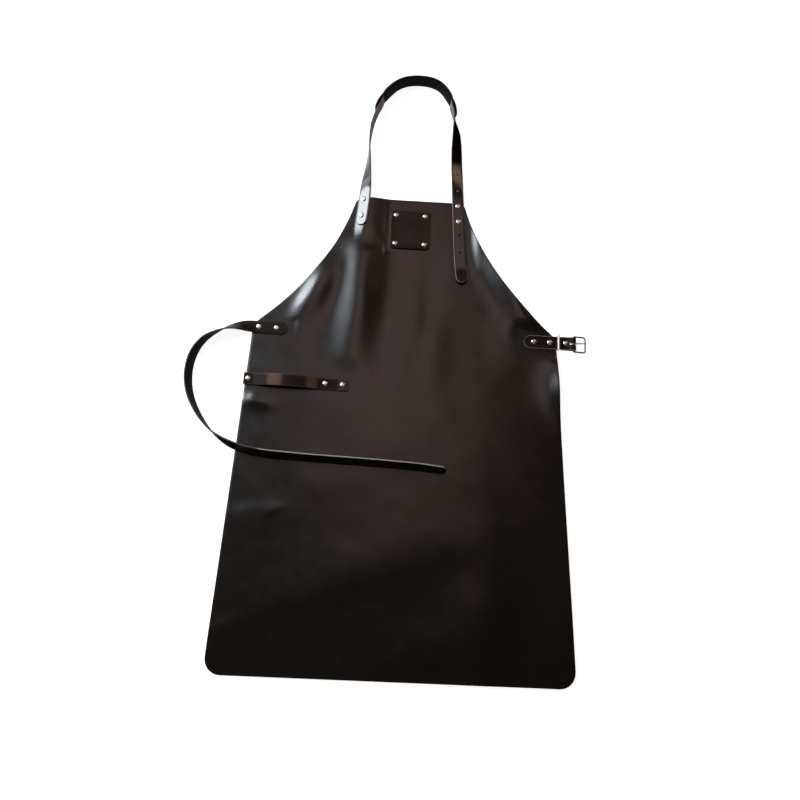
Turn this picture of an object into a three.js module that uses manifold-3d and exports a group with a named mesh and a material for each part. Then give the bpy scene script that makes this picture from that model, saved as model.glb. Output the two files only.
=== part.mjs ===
// A leather work apron lying front side up on a floor: its cut leather pieces, rivets, keeper and buckle.
// Millimetres. X runs across the apron, Y from the hem to the neck, and Z up from the floor.
import * as THREE from "three";
import { mergeVertices } from "three/addons/utils/BufferGeometryUtils.js";
import Module from "manifold-3d";

const wasm = await Module();
wasm.setup();

const { lerp, smoothstep, degToRad } = THREE.MathUtils;

// Leather thicknesses, and the clearance between pieces that touch
const BODY_LEATHER = 2;
const STRAP_LEATHER = 2.6;
const PATCH_LEATHER = 2.2;
const GAP = 0.3;

// Cut of the body: a straight hem and sides, curved armholes and a straight bib top
const HEM_WIDTH = 600;
const WAIST_WIDTH = 538;
const BIB_WIDTH = 198;
const WAIST_HEIGHT = 595;
const BODY_LENGTH = 850;
const ARMHOLE_PULL = { x: 136, y: 705 };
const HEM_RADIUS = 28;
const BIB_RADIUS = 12;
const WAIST_SOFTENING = 12;

// Mesh of the body: sections along Y and columns across X
const SECTION_STEP = 24;
const COLUMNS = 28;
const CORNER_ANGLES = [0, 30, 60, 90];

// Straps
const STRAP_WIDTH = 21.5;
const BUCKLE_STRAP_WIDTH = 24;
const STRAP_STEP = 13;
const TIP_ANGLES = [14, 35, 60, 90];
const HOLE_RADIUS = 2;

// Rivets: a domed cap on the front, a stem and a flat cap on the back
const RIVET = { cap: 4.6, dome: 1.8, stem: 1.8, back: 4.5, backHeight: 1.2, sides: 10 };
const SCREW = { dome: 1.3, slotWidth: 1.1, slotDepth: 0.7 };
const RIVET_BED = RIVET.backHeight + GAP;

// Neck loop: a flattened half ellipse, drawn to the right at its top, over the legs of the strap. The strap
// lies outside the pad and comes inside it through a slot near each end
const NECK_ARCH = { x: 0, y: 955, halfWidth: 82, height: 142, flatness: 0.75, skew: 8.5 };
const PAD = { width: 29, thickness: 4, bevel: 1.4, start: 149, end: 31, tip: 12, step: 9 };
const PAD_SIDE = (PAD.thickness + STRAP_LEATHER) / 2 + 0.5;
const PAD_RISE = (PAD.width - STRAP_WIDTH) / 2;
const SLOT_ROOM = 0.8;

// Patch on the bib
const PATCH = { width: 74, height: 75, radius: 9, rivetsX: 53.4, rivetsY: 56.4 };

// Towel loop: the slack between its first two rivets, at its highest
const TOWEL_SLACK = 8;

// Buckle: a rectangular wire frame on a heel bar, with a tongue round the bar
const BUCKLE = { x: 301, length: 21.2, width: 28.4, wire: 1.4, farCorner: 4, heelCorner: 1.7, sides: 8 };
const PRONG = { ring: 2.9, bore: 1.68, width: 3, lift: 18, tip: 0.7, reach: 21.6 };
const FOLD = { inner: BUCKLE.wire + GAP, start: 291, end: 278, slot: 5.4, slotStart: 292.4 };
const KEEPER = { x: 272.4, width: 3.6, wall: 1.6, innerWidth: 25, room: 5 };

// The buckle strap's lower layer lies under its upper one, beside the body
const BUCKLE_BED = RIVET_BED + STRAP_LEATHER + GAP - BODY_LEATHER;

// Flat seats in the body where pieces lie on it: the middle (x, y), the direction of the strap (turn,
// degrees from +X), half the seat's size along and across it, its height (rise) and its tilt to the left
const BEDS = {
  neckLeft: { x: -87.2, y: 828, turn: 85.3, along: 58, across: 20, rise: 5, tilt: 8 },
  neckRight: { x: 91.8, y: 775, turn: -86.6, along: 109, across: 20, rise: RIVET_BED, tilt: 0 },
  patch: { x: 1.3, y: 790, turn: 0, along: 47, across: 62, rise: RIVET_BED, tilt: 0 },
  waist: { x: -240, y: 587, turn: 178.9, along: 50, across: 35, rise: RIVET_BED, tilt: 0 },
  towel: { x: -186.2, y: 490.3, turn: -1.2, along: 110, across: 35, rise: RIVET_BED, tilt: 0 },
  buckle: { x: 243, y: 586, turn: 0, along: 50, across: 36, rise: BUCKLE_BED, tilt: 0 },
  strapRest: { x: -100, y: 357, turn: -3, along: 205, across: 36, rise: 0, tilt: 0 },
};
const BED_FADE = 18;

// Folds and edge curls of the lying leather: the middle of each ridge, its direction (turn, degrees
// from +X), how far it runs and spreads, and its height
const FOLDS = [
  { name: "bib ridge", x: -84, y: 700, turn: 85, length: 150, spread: 26, height: 11 },
  { name: "left armhole curl", x: -163, y: 690, turn: 58, length: 70, spread: 14, height: 9 },
  { name: "right armhole curl", x: 172, y: 684, turn: 124, length: 70, spread: 18, height: 6 },
  { name: "left bib crease", x: -26, y: 575, turn: 87, length: 90, spread: 15, height: 3.5 },
  { name: "right bib crease", x: 54, y: 570, turn: 88, length: 85, spread: 17, height: 3.5 },
  { name: "right waist lift", x: 272, y: 515, turn: 90, length: 40, spread: 24, height: 10 },
  { name: "left side lift", x: -282, y: 425, turn: 90, length: 26, spread: 24, height: 7 },
  { name: "left skirt crease", x: -242, y: 263, turn: 14, length: 48, spread: 13, height: 5 },
  { name: "left hem curl", x: -288, y: 84, turn: 60, length: 36, spread: 22, height: 7 },
  { name: "skirt swell", x: -110, y: 205, turn: 20, length: 120, spread: 45, height: 5 },
  { name: "skirt diagonal", x: 40, y: 92, turn: 23, length: 95, spread: 26, height: 5 },
  { name: "right skirt roll", x: 158, y: 130, turn: 86, length: 100, spread: 24, height: 5 },
  { name: "right side roll", x: 246, y: 120, turn: 88, length: 110, spread: 26, height: 7 },
];

// Height of a strap's middle line over its lower edge, for its twist from lying flat
function standing(twist, width, thickness) {
  const angle = degToRad(twist);
  return (Math.abs(Math.sin(angle)) * width + Math.abs(Math.cos(angle)) * thickness) / 2;
}

// Height of the lower edge of a strap that lies on a bed
function seatRise(bed) {
  const layers = BODY_LEATHER + GAP + STRAP_LEATHER / 2;
  const middle = bed.rise + layers / Math.cos(degToRad(bed.tilt));
  return middle - standing(bed.tilt, STRAP_WIDTH, STRAP_LEATHER);
}

const ON_LEFT = seatRise(BEDS.neckLeft);
const ON_RIGHT = seatRise(BEDS.neckRight);
const ON_WAIST = seatRise(BEDS.waist);
const ON_SKIRT = BODY_LEATHER + GAP;

// Lines of the straps: the middle line (x, y), the twist from lying flat (90 stands on edge, grain side
// out) and the height of the lower edge (rise)
const NECK_LEFT_LEG = [
  { x: -90, y: 794, twist: 8, rise: ON_LEFT },
  { x: -85.3, y: 851, twist: 8, rise: ON_LEFT },
  { x: -84, y: 868, twist: 46, rise: ON_LEFT + 0.8 },
  { x: -82.8, y: 890, twist: 67, rise: 4 },
  { x: -82, y: 915, twist: 80, rise: 1.5 },
  { x: -81.6, y: 938, twist: 90, rise: 0.5 },
];
const NECK_RIGHT_LEG = [
  { x: 83.2, y: 925, twist: 30, rise: 2 },
  { x: 85, y: 894, twist: 16, rise: 3 },
  { x: 86.8, y: 862, twist: 2, rise: ON_RIGHT },
  { x: 87.9, y: 843, twist: 0, rise: ON_RIGHT },
  { x: 93.3, y: 750, twist: 0, rise: ON_RIGHT },
  { x: 95.8, y: 718, twist: 0, rise: ON_RIGHT + 0.8 },
  { x: 99, y: 690, twist: 0, rise: ON_RIGHT + 3 },
];
// The arch between the legs, by its angle; shift and padShift are outwards from the arch
const NECK_ARCH_ROWS = [
  { angle: 180, twist: 93, rise: 1.5, shift: 0, padShift: 0 },
  { angle: 164, twist: 97, rise: 3, shift: 0, padShift: 0 },
  { angle: 149, twist: 98, rise: PAD_RISE, shift: -1, padShift: PAD_SIDE - 1 },
  { angle: 140, twist: 97, rise: PAD_RISE, shift: -1.5, padShift: PAD_SIDE - 1.5 },
  { angle: 131, twist: 96, rise: PAD_RISE, shift: PAD_SIDE, padShift: 0 },
  { angle: 112, twist: 94, rise: PAD_RISE, shift: PAD_SIDE, padShift: 0 },
  { angle: 97, twist: 92, rise: PAD_RISE, shift: PAD_SIDE, padShift: 0 },
  { angle: 83, twist: 92, rise: PAD_RISE, shift: PAD_SIDE, padShift: 0 },
  { angle: 68, twist: 92, rise: PAD_RISE, shift: PAD_SIDE, padShift: 0 },
  { angle: 49, twist: 93, rise: PAD_RISE, shift: PAD_SIDE, padShift: 0 },
  { angle: 40, twist: 93, rise: PAD_RISE, shift: -1.5, padShift: PAD_SIDE - 1.5 },
  { angle: 31, twist: 92, rise: PAD_RISE, shift: -1, padShift: PAD_SIDE - 1 },
  { angle: 15, twist: 72, rise: 3, shift: 0, padShift: 0 },
  { angle: 0, twist: 52, rise: 2.5, shift: 0, padShift: 0 },
];
const WAIST_ROWS = [
  { x: -208.5, y: 586.4, twist: 0, rise: ON_WAIST },
  { x: -274, y: 587.6, twist: 0, rise: ON_WAIST },
  { x: -295, y: 585.5, twist: 50, rise: 2.5 },
  { x: -320, y: 578, twist: 88, rise: 1 },
  { x: -350, y: 558.5, twist: 104, rise: 0.5 },
  { x: -367, y: 530, twist: 109, rise: 0 },
  { x: -372, y: 495, twist: 110, rise: 0 },
  { x: -366, y: 460, twist: 108, rise: 0 },
  { x: -349, y: 426, twist: 101, rise: 0.8 },
  { x: -322, y: 394, twist: 91, rise: 1.6 },
  { x: -288, y: 373, twist: 78, rise: ON_SKIRT },
  { x: -245, y: 362, twist: 69, rise: ON_SKIRT },
  { x: -170, y: 357, twist: 67, rise: ON_SKIRT },
  { x: -60, y: 353.5, twist: 67, rise: ON_SKIRT },
  { x: 30, y: 349.5, twist: 67, rise: ON_SKIRT },
  { x: 79, y: 345, twist: 68, rise: ON_SKIRT },
];
const NECK_HOLES = [905, 874, 781, 750];

// Rivets by bed: the place along and across it, the leather on top of the body, and where the pile of
// leather starts (low, over the body's lower face)
const RIVET_ROWS = [
  { name: "neck_rivet_1", bed: "neckLeft", along: -16, across: 0, leather: STRAP_LEATHER, low: 0 },
  { name: "neck_rivet_2", bed: "neckLeft", along: 17, across: 0, leather: STRAP_LEATHER, low: 0 },
  { name: "neck_screw_1", bed: "neckRight", along: -68, across: 0, leather: STRAP_LEATHER, low: 0 },
  { name: "neck_screw_2", bed: "neckRight", along: -37, across: 0, leather: STRAP_LEATHER, low: 0 },
  { name: "waist_rivet_1", bed: "waist", along: -13, across: 0, leather: STRAP_LEATHER, low: 0 },
  { name: "waist_rivet_2", bed: "waist", along: 18, across: 0, leather: STRAP_LEATHER, low: 0 },
  { name: "towel_rivet_1", bed: "towel", along: -82.8, across: 0, leather: STRAP_LEATHER, low: 0 },
  { name: "towel_rivet_2", bed: "towel", along: 51.2, across: 0, leather: STRAP_LEATHER, low: 0 },
  { name: "towel_rivet_3", bed: "towel", along: 81.2, across: 0, leather: STRAP_LEATHER, low: 0 },
  { name: "buckle_rivet_1", bed: "buckle", along: -14, across: 0, leather: STRAP_LEATHER, low: 0 },
  { name: "buckle_rivet_2", bed: "buckle", along: 14.4, across: 0, leather: STRAP_LEATHER, low: 0 },
  {
    name: "buckle_rivet_3",
    bed: "buckle",
    along: 43.4,
    across: 0,
    leather: STRAP_LEATHER,
    low: BODY_LEATHER - GAP - STRAP_LEATHER,
  },
];
for (const [index, [side, level]] of [[-1, 1], [1, 1], [-1, -1], [1, -1]].entries()) {
  RIVET_ROWS.push({
    name: `patch_rivet_${index + 1}`,
    bed: "patch",
    along: (side * PATCH.rivetsX) / 2,
    across: (level * PATCH.rivetsY) / 2,
    leather: PATCH_LEATHER,
    low: 0,
  });
}

// Finishes
const BODY_FINISH = new THREE.MeshStandardMaterial({ color: 0x2b2522, roughness: 0.45, metalness: 0 });
const STRAP_FINISH = new THREE.MeshStandardMaterial({ color: 0x1d1916, roughness: 0.38, metalness: 0 });
const PAD_FINISH = new THREE.MeshStandardMaterial({ color: 0x0d0b0a, roughness: 0.35, metalness: 0 });
const PATCH_FINISH = new THREE.MeshStandardMaterial({ color: 0x17110f, roughness: 0.25, metalness: 0 });
const METAL_FINISH = new THREE.MeshStandardMaterial({ color: 0xb8b4ad, roughness: 0.25, metalness: 1 });

// A closed solid from a geometry, with its shared vertices merged and its slivers at a pole left out
function solidOf(geometry) {
  const bare = geometry.clone();
  bare.deleteAttribute("normal");
  bare.deleteAttribute("uv");
  const merged = mergeVertices(bare, 1e-4);
  const index = merged.index.array;
  const triangles = [];
  for (let i = 0; i < index.length; i += 3) {
    const [a, b, c] = [index[i], index[i + 1], index[i + 2]];
    if (a !== b && b !== c && c !== a) triangles.push(a, b, c);
  }
  const vertProperties = merged.attributes.position.array;
  return new wasm.Manifold(
    new wasm.Mesh({ numProp: 3, vertProperties, triVerts: new Uint32Array(triangles) }),
  );
}

function geometryOf(solid) {
  const mesh = solid.getMesh();
  const geometry = new THREE.BufferGeometry();
  geometry.setAttribute("position", new THREE.BufferAttribute(mesh.vertProperties, 3));
  geometry.setIndex(new THREE.BufferAttribute(mesh.triVerts, 1));
  geometry.computeVertexNormals();
  return geometry;
}

function cut(geometry, cutters) {
  const whole = solidOf(geometry);
  return geometryOf(cutters.reduce((left, cutter) => left.subtract(solidOf(cutter)), whole));
}

function join(first, second) {
  return geometryOf(solidOf(first).add(solidOf(second)));
}

// A closed geometry from vertices and triangles, turned round if its faces point inwards
function closedGeometry(vertices, triangles) {
  let volume = 0;
  const product = new THREE.Vector3();
  for (const [a, b, c] of triangles) {
    volume += vertices[a].dot(product.crossVectors(vertices[b], vertices[c]));
  }
  const facing = volume > 0 ? triangles : triangles.map(([a, b, c]) => [a, c, b]);
  const geometry = new THREE.BufferGeometry().setFromPoints(vertices);
  geometry.setIndex(facing.flat());
  geometry.computeVertexNormals();
  return geometry;
}

// A skin over rings of equally many points, with flat ends, or without ends where the rings form a loop
function skin(rings, isLoop = false) {
  const sides = rings[0].length;
  const triangles = [];
  const spans = isLoop ? rings.length : rings.length - 1;
  for (let r = 0; r < spans; r += 1) {
    const here = r * sides;
    const next = ((r + 1) % rings.length) * sides;
    for (let k = 0; k < sides; k += 1) {
      const l = (k + 1) % sides;
      triangles.push([here + k, here + l, next + l], [here + k, next + l, next + k]);
    }
  }
  if (!isLoop) {
    const last = (rings.length - 1) * sides;
    for (let k = 1; k < sides - 1; k += 1) {
      triangles.push([0, k + 1, k], [last, last + k, last + k + 1]);
    }
  }
  return closedGeometry(rings.flat(), triangles);
}

// A ring of points round a middle, each given by its distance along the across and the normal direction
function ring(middle, across, normal, outline) {
  return outline.map(([a, n]) => middle.clone().addScaledVector(across, a).addScaledVector(normal, n));
}

function rectangle(width, thickness) {
  const [a, n] = [width / 2, thickness / 2];
  return [[a, n], [-a, n], [-a, -n], [a, -n]];
}

function bevelled(width, thickness, bevel) {
  const [a, n] = [width / 2, thickness / 2];
  const b = Math.min(bevel, n * 0.8);
  return [
    [a, n - b], [a - b, n], [b - a, n], [-a, n - b],
    [-a, b - n], [b - a, -n], [a - b, -n], [a, b - n],
  ];
}

// Half the body's width at a height: the side and the armhole, softly joined, with round corners
function halfWidth(y) {
  const side = lerp(HEM_WIDTH, WAIST_WIDTH, y / WAIST_HEIGHT) / 2;
  const bend = BODY_LENGTH - 2 * ARMHOLE_PULL.y + WAIST_HEIGHT;
  const fall = 2 * (BODY_LENGTH - ARMHOLE_PULL.y);
  const root = Math.sqrt(Math.max(0, fall * fall - 4 * bend * (BODY_LENGTH - y)));
  const t = (fall - root) / (2 * bend);
  const [from, pull, to] = [BIB_WIDTH / 2, ARMHOLE_PULL.x, WAIST_WIDTH / 2];
  const armhole = (1 - t) * (1 - t) * from + 2 * t * (1 - t) * pull + t * t * to;
  const near = Math.max(WAIST_SOFTENING - Math.abs(side - armhole), 0) / WAIST_SOFTENING;
  const width = Math.min(side, armhole) - (near * near * WAIST_SOFTENING) / 4;
  return width - roundOff(y, HEM_RADIUS) - roundOff(BODY_LENGTH - y, BIB_RADIUS);
}

// How far a corner of the given radius draws an edge in, at a distance from the end
function roundOff(distance, radius) {
  if (distance >= radius) return 0;
  const rest = radius - distance;
  return radius - Math.sqrt(radius * radius - rest * rest);
}

// A place's distances along a row's direction and to the left of it
function inRowFrame(row, x, y) {
  const angle = degToRad(row.turn);
  const [dx, dy] = [x - row.x, y - row.y];
  return {
    along: dx * Math.cos(angle) + dy * Math.sin(angle),
    left: dy * Math.cos(angle) - dx * Math.sin(angle),
  };
}

// Height of the body's lower face over the floor: its folds, flattened into the beds
function bodyHeight(x, y) {
  let height = 0;
  for (const fold of FOLDS) {
    const { along, left } = inRowFrame(fold, x, y);
    height += fold.height * Math.exp(-((along / fold.length) ** 2) - (left / fold.spread) ** 2);
  }
  height = Math.max(0, height - 0.5);
  for (const bed of Object.values(BEDS)) {
    const { along, left } = inRowFrame(bed, x, y);
    const inAlong = 1 - smoothstep(Math.abs(along), bed.along, bed.along + BED_FADE);
    const inAcross = 1 - smoothstep(Math.abs(left), bed.across, bed.across + BED_FADE);
    const level = bed.rise - Math.tan(degToRad(bed.tilt)) * left;
    height = lerp(height, Math.max(0, level), inAlong * inAcross);
  }
  return height;
}

function bodySections() {
  const corner = (radius) => CORNER_ANGLES.map((angle) => radius * (1 - Math.cos(degToRad(angle))));
  const low = corner(HEM_RADIUS);
  const high = corner(BIB_RADIUS).map((rise) => BODY_LENGTH - rise).reverse();
  const count = Math.round((high[0] - HEM_RADIUS) / SECTION_STEP);
  const between = Array.from({ length: count - 1 }, (_, i) => lerp(HEM_RADIUS, high[0], (i + 1) / count));
  return [...low, ...between, ...high];
}

function bodyGeometry() {
  const sections = bodySections();
  const upper = [];
  const lower = [];
  for (const y of sections) {
    for (let i = 0; i <= COLUMNS; i += 1) {
      const x = halfWidth(y) * ((2 * i) / COLUMNS - 1);
      const height = bodyHeight(x, y);
      upper.push(new THREE.Vector3(x, y, height + BODY_LEATHER));
      lower.push(new THREE.Vector3(x, y, height));
    }
  }
  const span = COLUMNS + 1;
  const under = upper.length;
  const triangles = [];
  const wall = (a, b) => triangles.push([a, under + a, under + b], [a, under + b, b]);
  for (let r = 0; r < sections.length - 1; r += 1) {
    for (let i = 0; i < COLUMNS; i += 1) {
      const [a, b] = [r * span + i, r * span + i + 1];
      const [c, d] = [b + span, a + span];
      triangles.push([a, b, c], [a, c, d]);
      triangles.push([under + a, under + c, under + b], [under + a, under + d, under + c]);
    }
    wall((r + 1) * span, r * span);
    wall(r * span + COLUMNS, (r + 1) * span + COLUMNS);
  }
  const top = (sections.length - 1) * span;
  for (let i = 0; i < COLUMNS; i += 1) {
    wall(i, i + 1);
    wall(top + i + 1, top + i);
  }
  return closedGeometry([...upper, ...lower], triangles);
}

// A strap's table as an even line: at(run) gives the place, direction, twist and rise that far along it
function strapLine(rows) {
  const SAMPLES = 12;
  const curve = new THREE.CatmullRomCurve3(
    rows.map((row) => new THREE.Vector3(row.x, row.y, 0)),
    false,
    "centripetal",
  );
  const steps = (rows.length - 1) * SAMPLES;
  const samples = [];
  for (let i = 0; i <= steps; i += 1) {
    const place = curve.getPoint(i / steps);
    const before = samples[i - 1];
    const run = before ? before.run + place.distanceTo(before.place) : 0;
    const first = rows[Math.min(Math.floor(i / SAMPLES), rows.length - 2)];
    const second = rows[rows.indexOf(first) + 1];
    const share = i / SAMPLES - rows.indexOf(first);
    const twist = lerp(first.twist, second.twist, share);
    const rise = lerp(first.rise, second.rise, share);
    samples.push({ run, place, twist, rise, direction: curve.getTangent(i / steps) });
  }
  const length = samples[steps].run;
  const rowRuns = samples.filter((_, i) => i % SAMPLES === 0).map((sample) => sample.run);
  function at(run) {
    const k = Math.max(1, samples.findIndex((sample) => sample.run >= run - 1e-6));
    const [from, to] = [samples[k - 1], samples[k]];
    const share = (run - from.run) / (to.run - from.run);
    return {
      place: from.place.clone().lerp(to.place, share),
      direction: from.direction.clone().lerp(to.direction, share).normalize(),
      twist: lerp(from.twist, to.twist, share),
      rise: lerp(from.rise, to.rise, share),
    };
  }
  return { length, rowRuns, at };
}

// Stations along a line, with the share of its width there; its ends are round tips of the given radii
function stations(line, startRadius, endRadius, step) {
  const tip = (radius, toRun) =>
    TIP_ANGLES.map((angle) => ({
      run: toRun(radius * (1 - Math.cos(degToRad(angle)))),
      share: Math.sin(degToRad(angle)),
    }));
  const square = (run) => [{ run, share: 1 }];
  const first = startRadius > 0 ? tip(startRadius, (d) => d) : square(0);
  const last = endRadius > 0 ? tip(endRadius, (d) => line.length - d).reverse() : square(line.length);
  const [from, to] = [first.at(-1).run, last[0].run];
  const stops = [...line.rowRuns.filter((run) => run > from + 1 && run < to - 1), to];
  const between = [];
  let start = from;
  for (const stop of stops) {
    const count = Math.ceil((stop - start) / step);
    for (let i = 1; i <= count; i += 1) between.push({ run: lerp(start, stop, i / count), share: 1 });
    start = stop;
  }
  between.pop();
  return [...first, ...between, ...last];
}

// The frame of a strap that follows a line; side is 1 where the outside of its bend is on its left
function strapFrame(spot, side, width, thickness) {
  const angle = degToRad(spot.twist);
  const outward = new THREE.Vector3(-spot.direction.y, spot.direction.x, 0).multiplyScalar(side);
  const normal = new THREE.Vector3(0, 0, Math.cos(angle)).addScaledVector(outward, Math.sin(angle));
  const across = new THREE.Vector3().crossVectors(normal, spot.direction);
  const middle = spot.place.clone();
  middle.z = spot.rise + standing(spot.twist, width, thickness);
  return { middle, across, normal };
}

function strapGeometry(line, side, tips, room = 0) {
  const rings = stations(line, tips.start, tips.end, STRAP_STEP).map(({ run, share }) => {
    const { middle, across, normal } = strapFrame(line.at(run), side, STRAP_WIDTH, STRAP_LEATHER);
    const width = (STRAP_WIDTH + room) * share;
    return ring(middle, across, normal, rectangle(width, STRAP_LEATHER + room));
  });
  return skin(rings);
}

// A place on the neck arch
function archPoint(angle) {
  const [c, s] = [Math.cos(degToRad(angle)), Math.sin(degToRad(angle))];
  const reach = Math.sign(c) * Math.abs(c) ** NECK_ARCH.flatness;
  const x = NECK_ARCH.x + NECK_ARCH.halfWidth * reach + NECK_ARCH.skew * s * s;
  return new THREE.Vector2(x, NECK_ARCH.y + NECK_ARCH.height * s);
}

// A row of a strap's table from a place on the neck arch, shifted outwards
function archRow({ angle, twist, rise, shift }) {
  const along = archPoint(angle - 1).sub(archPoint(angle + 1)).normalize();
  const place = archPoint(angle);
  return { x: place.x - shift * along.y, y: place.y + shift * along.x, twist, rise };
}

function neckStrapLine() {
  return strapLine([...NECK_LEFT_LEG, ...NECK_ARCH_ROWS.map(archRow), ...NECK_RIGHT_LEG]);
}

function padGeometry() {
  const inPad = NECK_ARCH_ROWS.filter((row) => row.angle <= PAD.start && row.angle >= PAD.end);
  const line = strapLine(inPad.map((row) => archRow({ ...row, rise: 0, shift: row.padShift })));
  const rings = stations(line, PAD.tip, PAD.tip, PAD.step).map(({ run, share }) => {
    const { middle, across, normal } = strapFrame(line.at(run), 1, PAD.width, PAD.thickness);
    const width = PAD.width * lerp(0.45, 1, share);
    return ring(middle, across, normal, bevelled(width, PAD.thickness, PAD.bevel));
  });
  return skin(rings);
}

// A punch along Z for round holes
function punch(radius, depth) {
  const SIDES = 10;
  return new THREE.CylinderGeometry(radius, radius, depth, SIDES).rotateX(Math.PI / 2);
}

// Punches square to the neck strap's tail, at the heights of its holes
function neckHoles(line) {
  const DEPTH = 12;
  return NECK_HOLES.map((height) => {
    let run = line.length;
    while (line.at(run).place.y < height) run -= 0.5;
    const { middle, across, normal } = strapFrame(line.at(run), 1, STRAP_WIDTH, STRAP_LEATHER);
    const along = new THREE.Vector3().crossVectors(normal, across);
    const place = new THREE.Matrix4().makeBasis(across, along, normal).setPosition(middle);
    return punch(HOLE_RADIUS, DEPTH).applyMatrix4(place);
  });
}

// The frame of a bed: X along its direction, Z out of the body's lower face
function bedMatrix(bed) {
  const turn = degToRad(bed.turn);
  const tilt = degToRad(bed.tilt);
  const along = new THREE.Vector3(Math.cos(turn), Math.sin(turn), 0);
  const left = new THREE.Vector3(-along.y, along.x, 0);
  const normal = new THREE.Vector3(0, 0, Math.cos(tilt)).addScaledVector(left, Math.sin(tilt));
  const across = new THREE.Vector3().crossVectors(normal, along);
  return new THREE.Matrix4().makeBasis(along, across, normal).setPosition(bed.x, bed.y, bed.rise);
}

function rivetMatrix(row) {
  const offset = new THREE.Matrix4().makeTranslation(row.along, row.across, 0);
  return bedMatrix(BEDS[row.bed]).multiply(offset);
}

function rivetHoles(rows) {
  const DEPTH = 30;
  return rows.map((row) => punch(RIVET.stem + GAP, DEPTH).applyMatrix4(rivetMatrix(row)));
}

function rivetGeometry(row) {
  const isScrew = row.name.includes("screw");
  const dome = isScrew ? SCREW.dome : RIVET.dome;
  const seat = row.low - GAP;
  const top = BODY_LEATHER + GAP + row.leather + GAP;
  const profile = [
    [0, seat - RIVET.backHeight],
    [RIVET.back, seat - RIVET.backHeight],
    [RIVET.back, seat],
    [RIVET.stem, seat],
    [RIVET.stem, top],
    [RIVET.cap, top],
    [RIVET.cap * 0.96, top + dome * 0.45],
    [RIVET.cap * 0.62, top + dome * 0.9],
    [0, top + dome],
  ].map(([radius, height]) => new THREE.Vector2(radius, height));
  const round = new THREE.LatheGeometry(profile, RIVET.sides).rotateX(Math.PI / 2);
  if (!isScrew) return round;
  const slot = new THREE.BoxGeometry(RIVET.cap * 3, SCREW.slotWidth, SCREW.slotDepth * 2);
  return cut(round, [slot.translate(0, 0, top + dome)]);
}

function patchGeometry() {
  const shape = new THREE.Shape();
  const [w, h, r] = [PATCH.width / 2, PATCH.height / 2, PATCH.radius];
  shape.absarc(w - r, h - r, r, 0, Math.PI / 2);
  shape.absarc(r - w, h - r, r, Math.PI / 2, Math.PI);
  shape.absarc(r - w, r - h, r, Math.PI, Math.PI * 1.5);
  shape.absarc(w - r, r - h, r, Math.PI * 1.5, Math.PI * 2);
  const plate = new THREE.ExtrudeGeometry(shape, {
    depth: PATCH_LEATHER,
    bevelEnabled: false,
    curveSegments: 5,
  });
  return plate.translate(0, 0, BODY_LEATHER + GAP).applyMatrix4(bedMatrix(BEDS.patch));
}

// The towel loop: flat under its rivets, with a slack hump between the first two
function towelGeometry() {
  const rows = RIVET_ROWS.filter((row) => row.bed === "towel");
  const [start, end] = [rows[0].along - 8, rows[2].along + 9.5];
  const [humpStart, humpEnd] = [rows[0].along + 7, rows[1].along - 7];
  const level = BODY_LEATHER + GAP + STRAP_LEATHER / 2;
  const HUMP_STEPS = 14;
  const middle = [[start, level], [humpStart, level]];
  for (let i = 1; i < HUMP_STEPS; i += 1) {
    const share = i / HUMP_STEPS;
    const hump = 0.5 - 0.5 * Math.cos(2 * Math.PI * share);
    middle.push([lerp(humpStart, humpEnd, share), level + TOWEL_SLACK * Math.sqrt(hump)]);
  }
  middle.push([humpEnd, level], [end, level]);
  return ribbon(middle, STRAP_WIDTH, () => 1).applyMatrix4(bedMatrix(BEDS.towel));
}

// A strap that bends only up and down: a line of (x, z) points, swept across Y
function ribbon(middle, width, shareAt) {
  const across = new THREE.Vector3(0, 1, 0);
  const rings = middle.map(([x, z], i) => {
    const before = middle[Math.max(0, i - 1)];
    const after = middle[Math.min(middle.length - 1, i + 1)];
    const along = new THREE.Vector3(after[0] - before[0], 0, after[1] - before[1]).normalize();
    const normal = new THREE.Vector3().crossVectors(along, across);
    const outline = rectangle(width * shareAt(i), STRAP_LEATHER);
    return ring(new THREE.Vector3(x, 0, z), across, normal, outline);
  });
  return skin(rings);
}

// Heights of the buckle strap's two layers and of the heel bar that it folds round
const UPPER_LAYER = BUCKLE_BED + BODY_LEATHER + GAP + STRAP_LEATHER / 2;
const LOWER_LAYER = UPPER_LAYER - STRAP_LEATHER - GAP;
const BAR_HEIGHT = (UPPER_LAYER + LOWER_LAYER) / 2;
const BUCKLE_TIP = 211.5;

function buckleStrapGeometry() {
  const FOLD_STEPS = 8;
  const radius = FOLD.inner + STRAP_LEATHER / 2;
  const tip = TIP_ANGLES.map((angle) => ({
    x: BUCKLE_TIP + (BUCKLE_STRAP_WIDTH / 2) * (1 - Math.cos(degToRad(angle))),
    share: Math.sin(degToRad(angle)),
  }));
  const rows = tip.map(({ x, share }) => ({ x, z: UPPER_LAYER, share }));
  rows.push({ x: FOLD.start, z: UPPER_LAYER, share: 1 });
  for (let i = 0; i <= FOLD_STEPS; i += 1) {
    const angle = Math.PI * (0.5 - i / FOLD_STEPS);
    const x = BUCKLE.x + radius * Math.cos(angle);
    rows.push({ x, z: BAR_HEIGHT + radius * Math.sin(angle), share: 1 });
  }
  rows.push({ x: FOLD.start, z: LOWER_LAYER, share: 1 }, { x: FOLD.end, z: LOWER_LAYER, share: 1 });
  const strap = ribbon(rows.map((row) => [row.x, row.z]), BUCKLE_STRAP_WIDTH, (i) => rows[i].share);
  const slotLength = 2 * (BUCKLE.x - FOLD.slotStart);
  const slot = new THREE.BoxGeometry(slotLength, FOLD.slot, slotLength);
  slot.translate(BUCKLE.x, BEDS.buckle.y, BAR_HEIGHT);
  strap.translate(0, BEDS.buckle.y, 0);
  return cut(strap, [slot, ...rivetHoles(RIVET_ROWS.filter((row) => row.bed === "buckle"))]);
}

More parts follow.
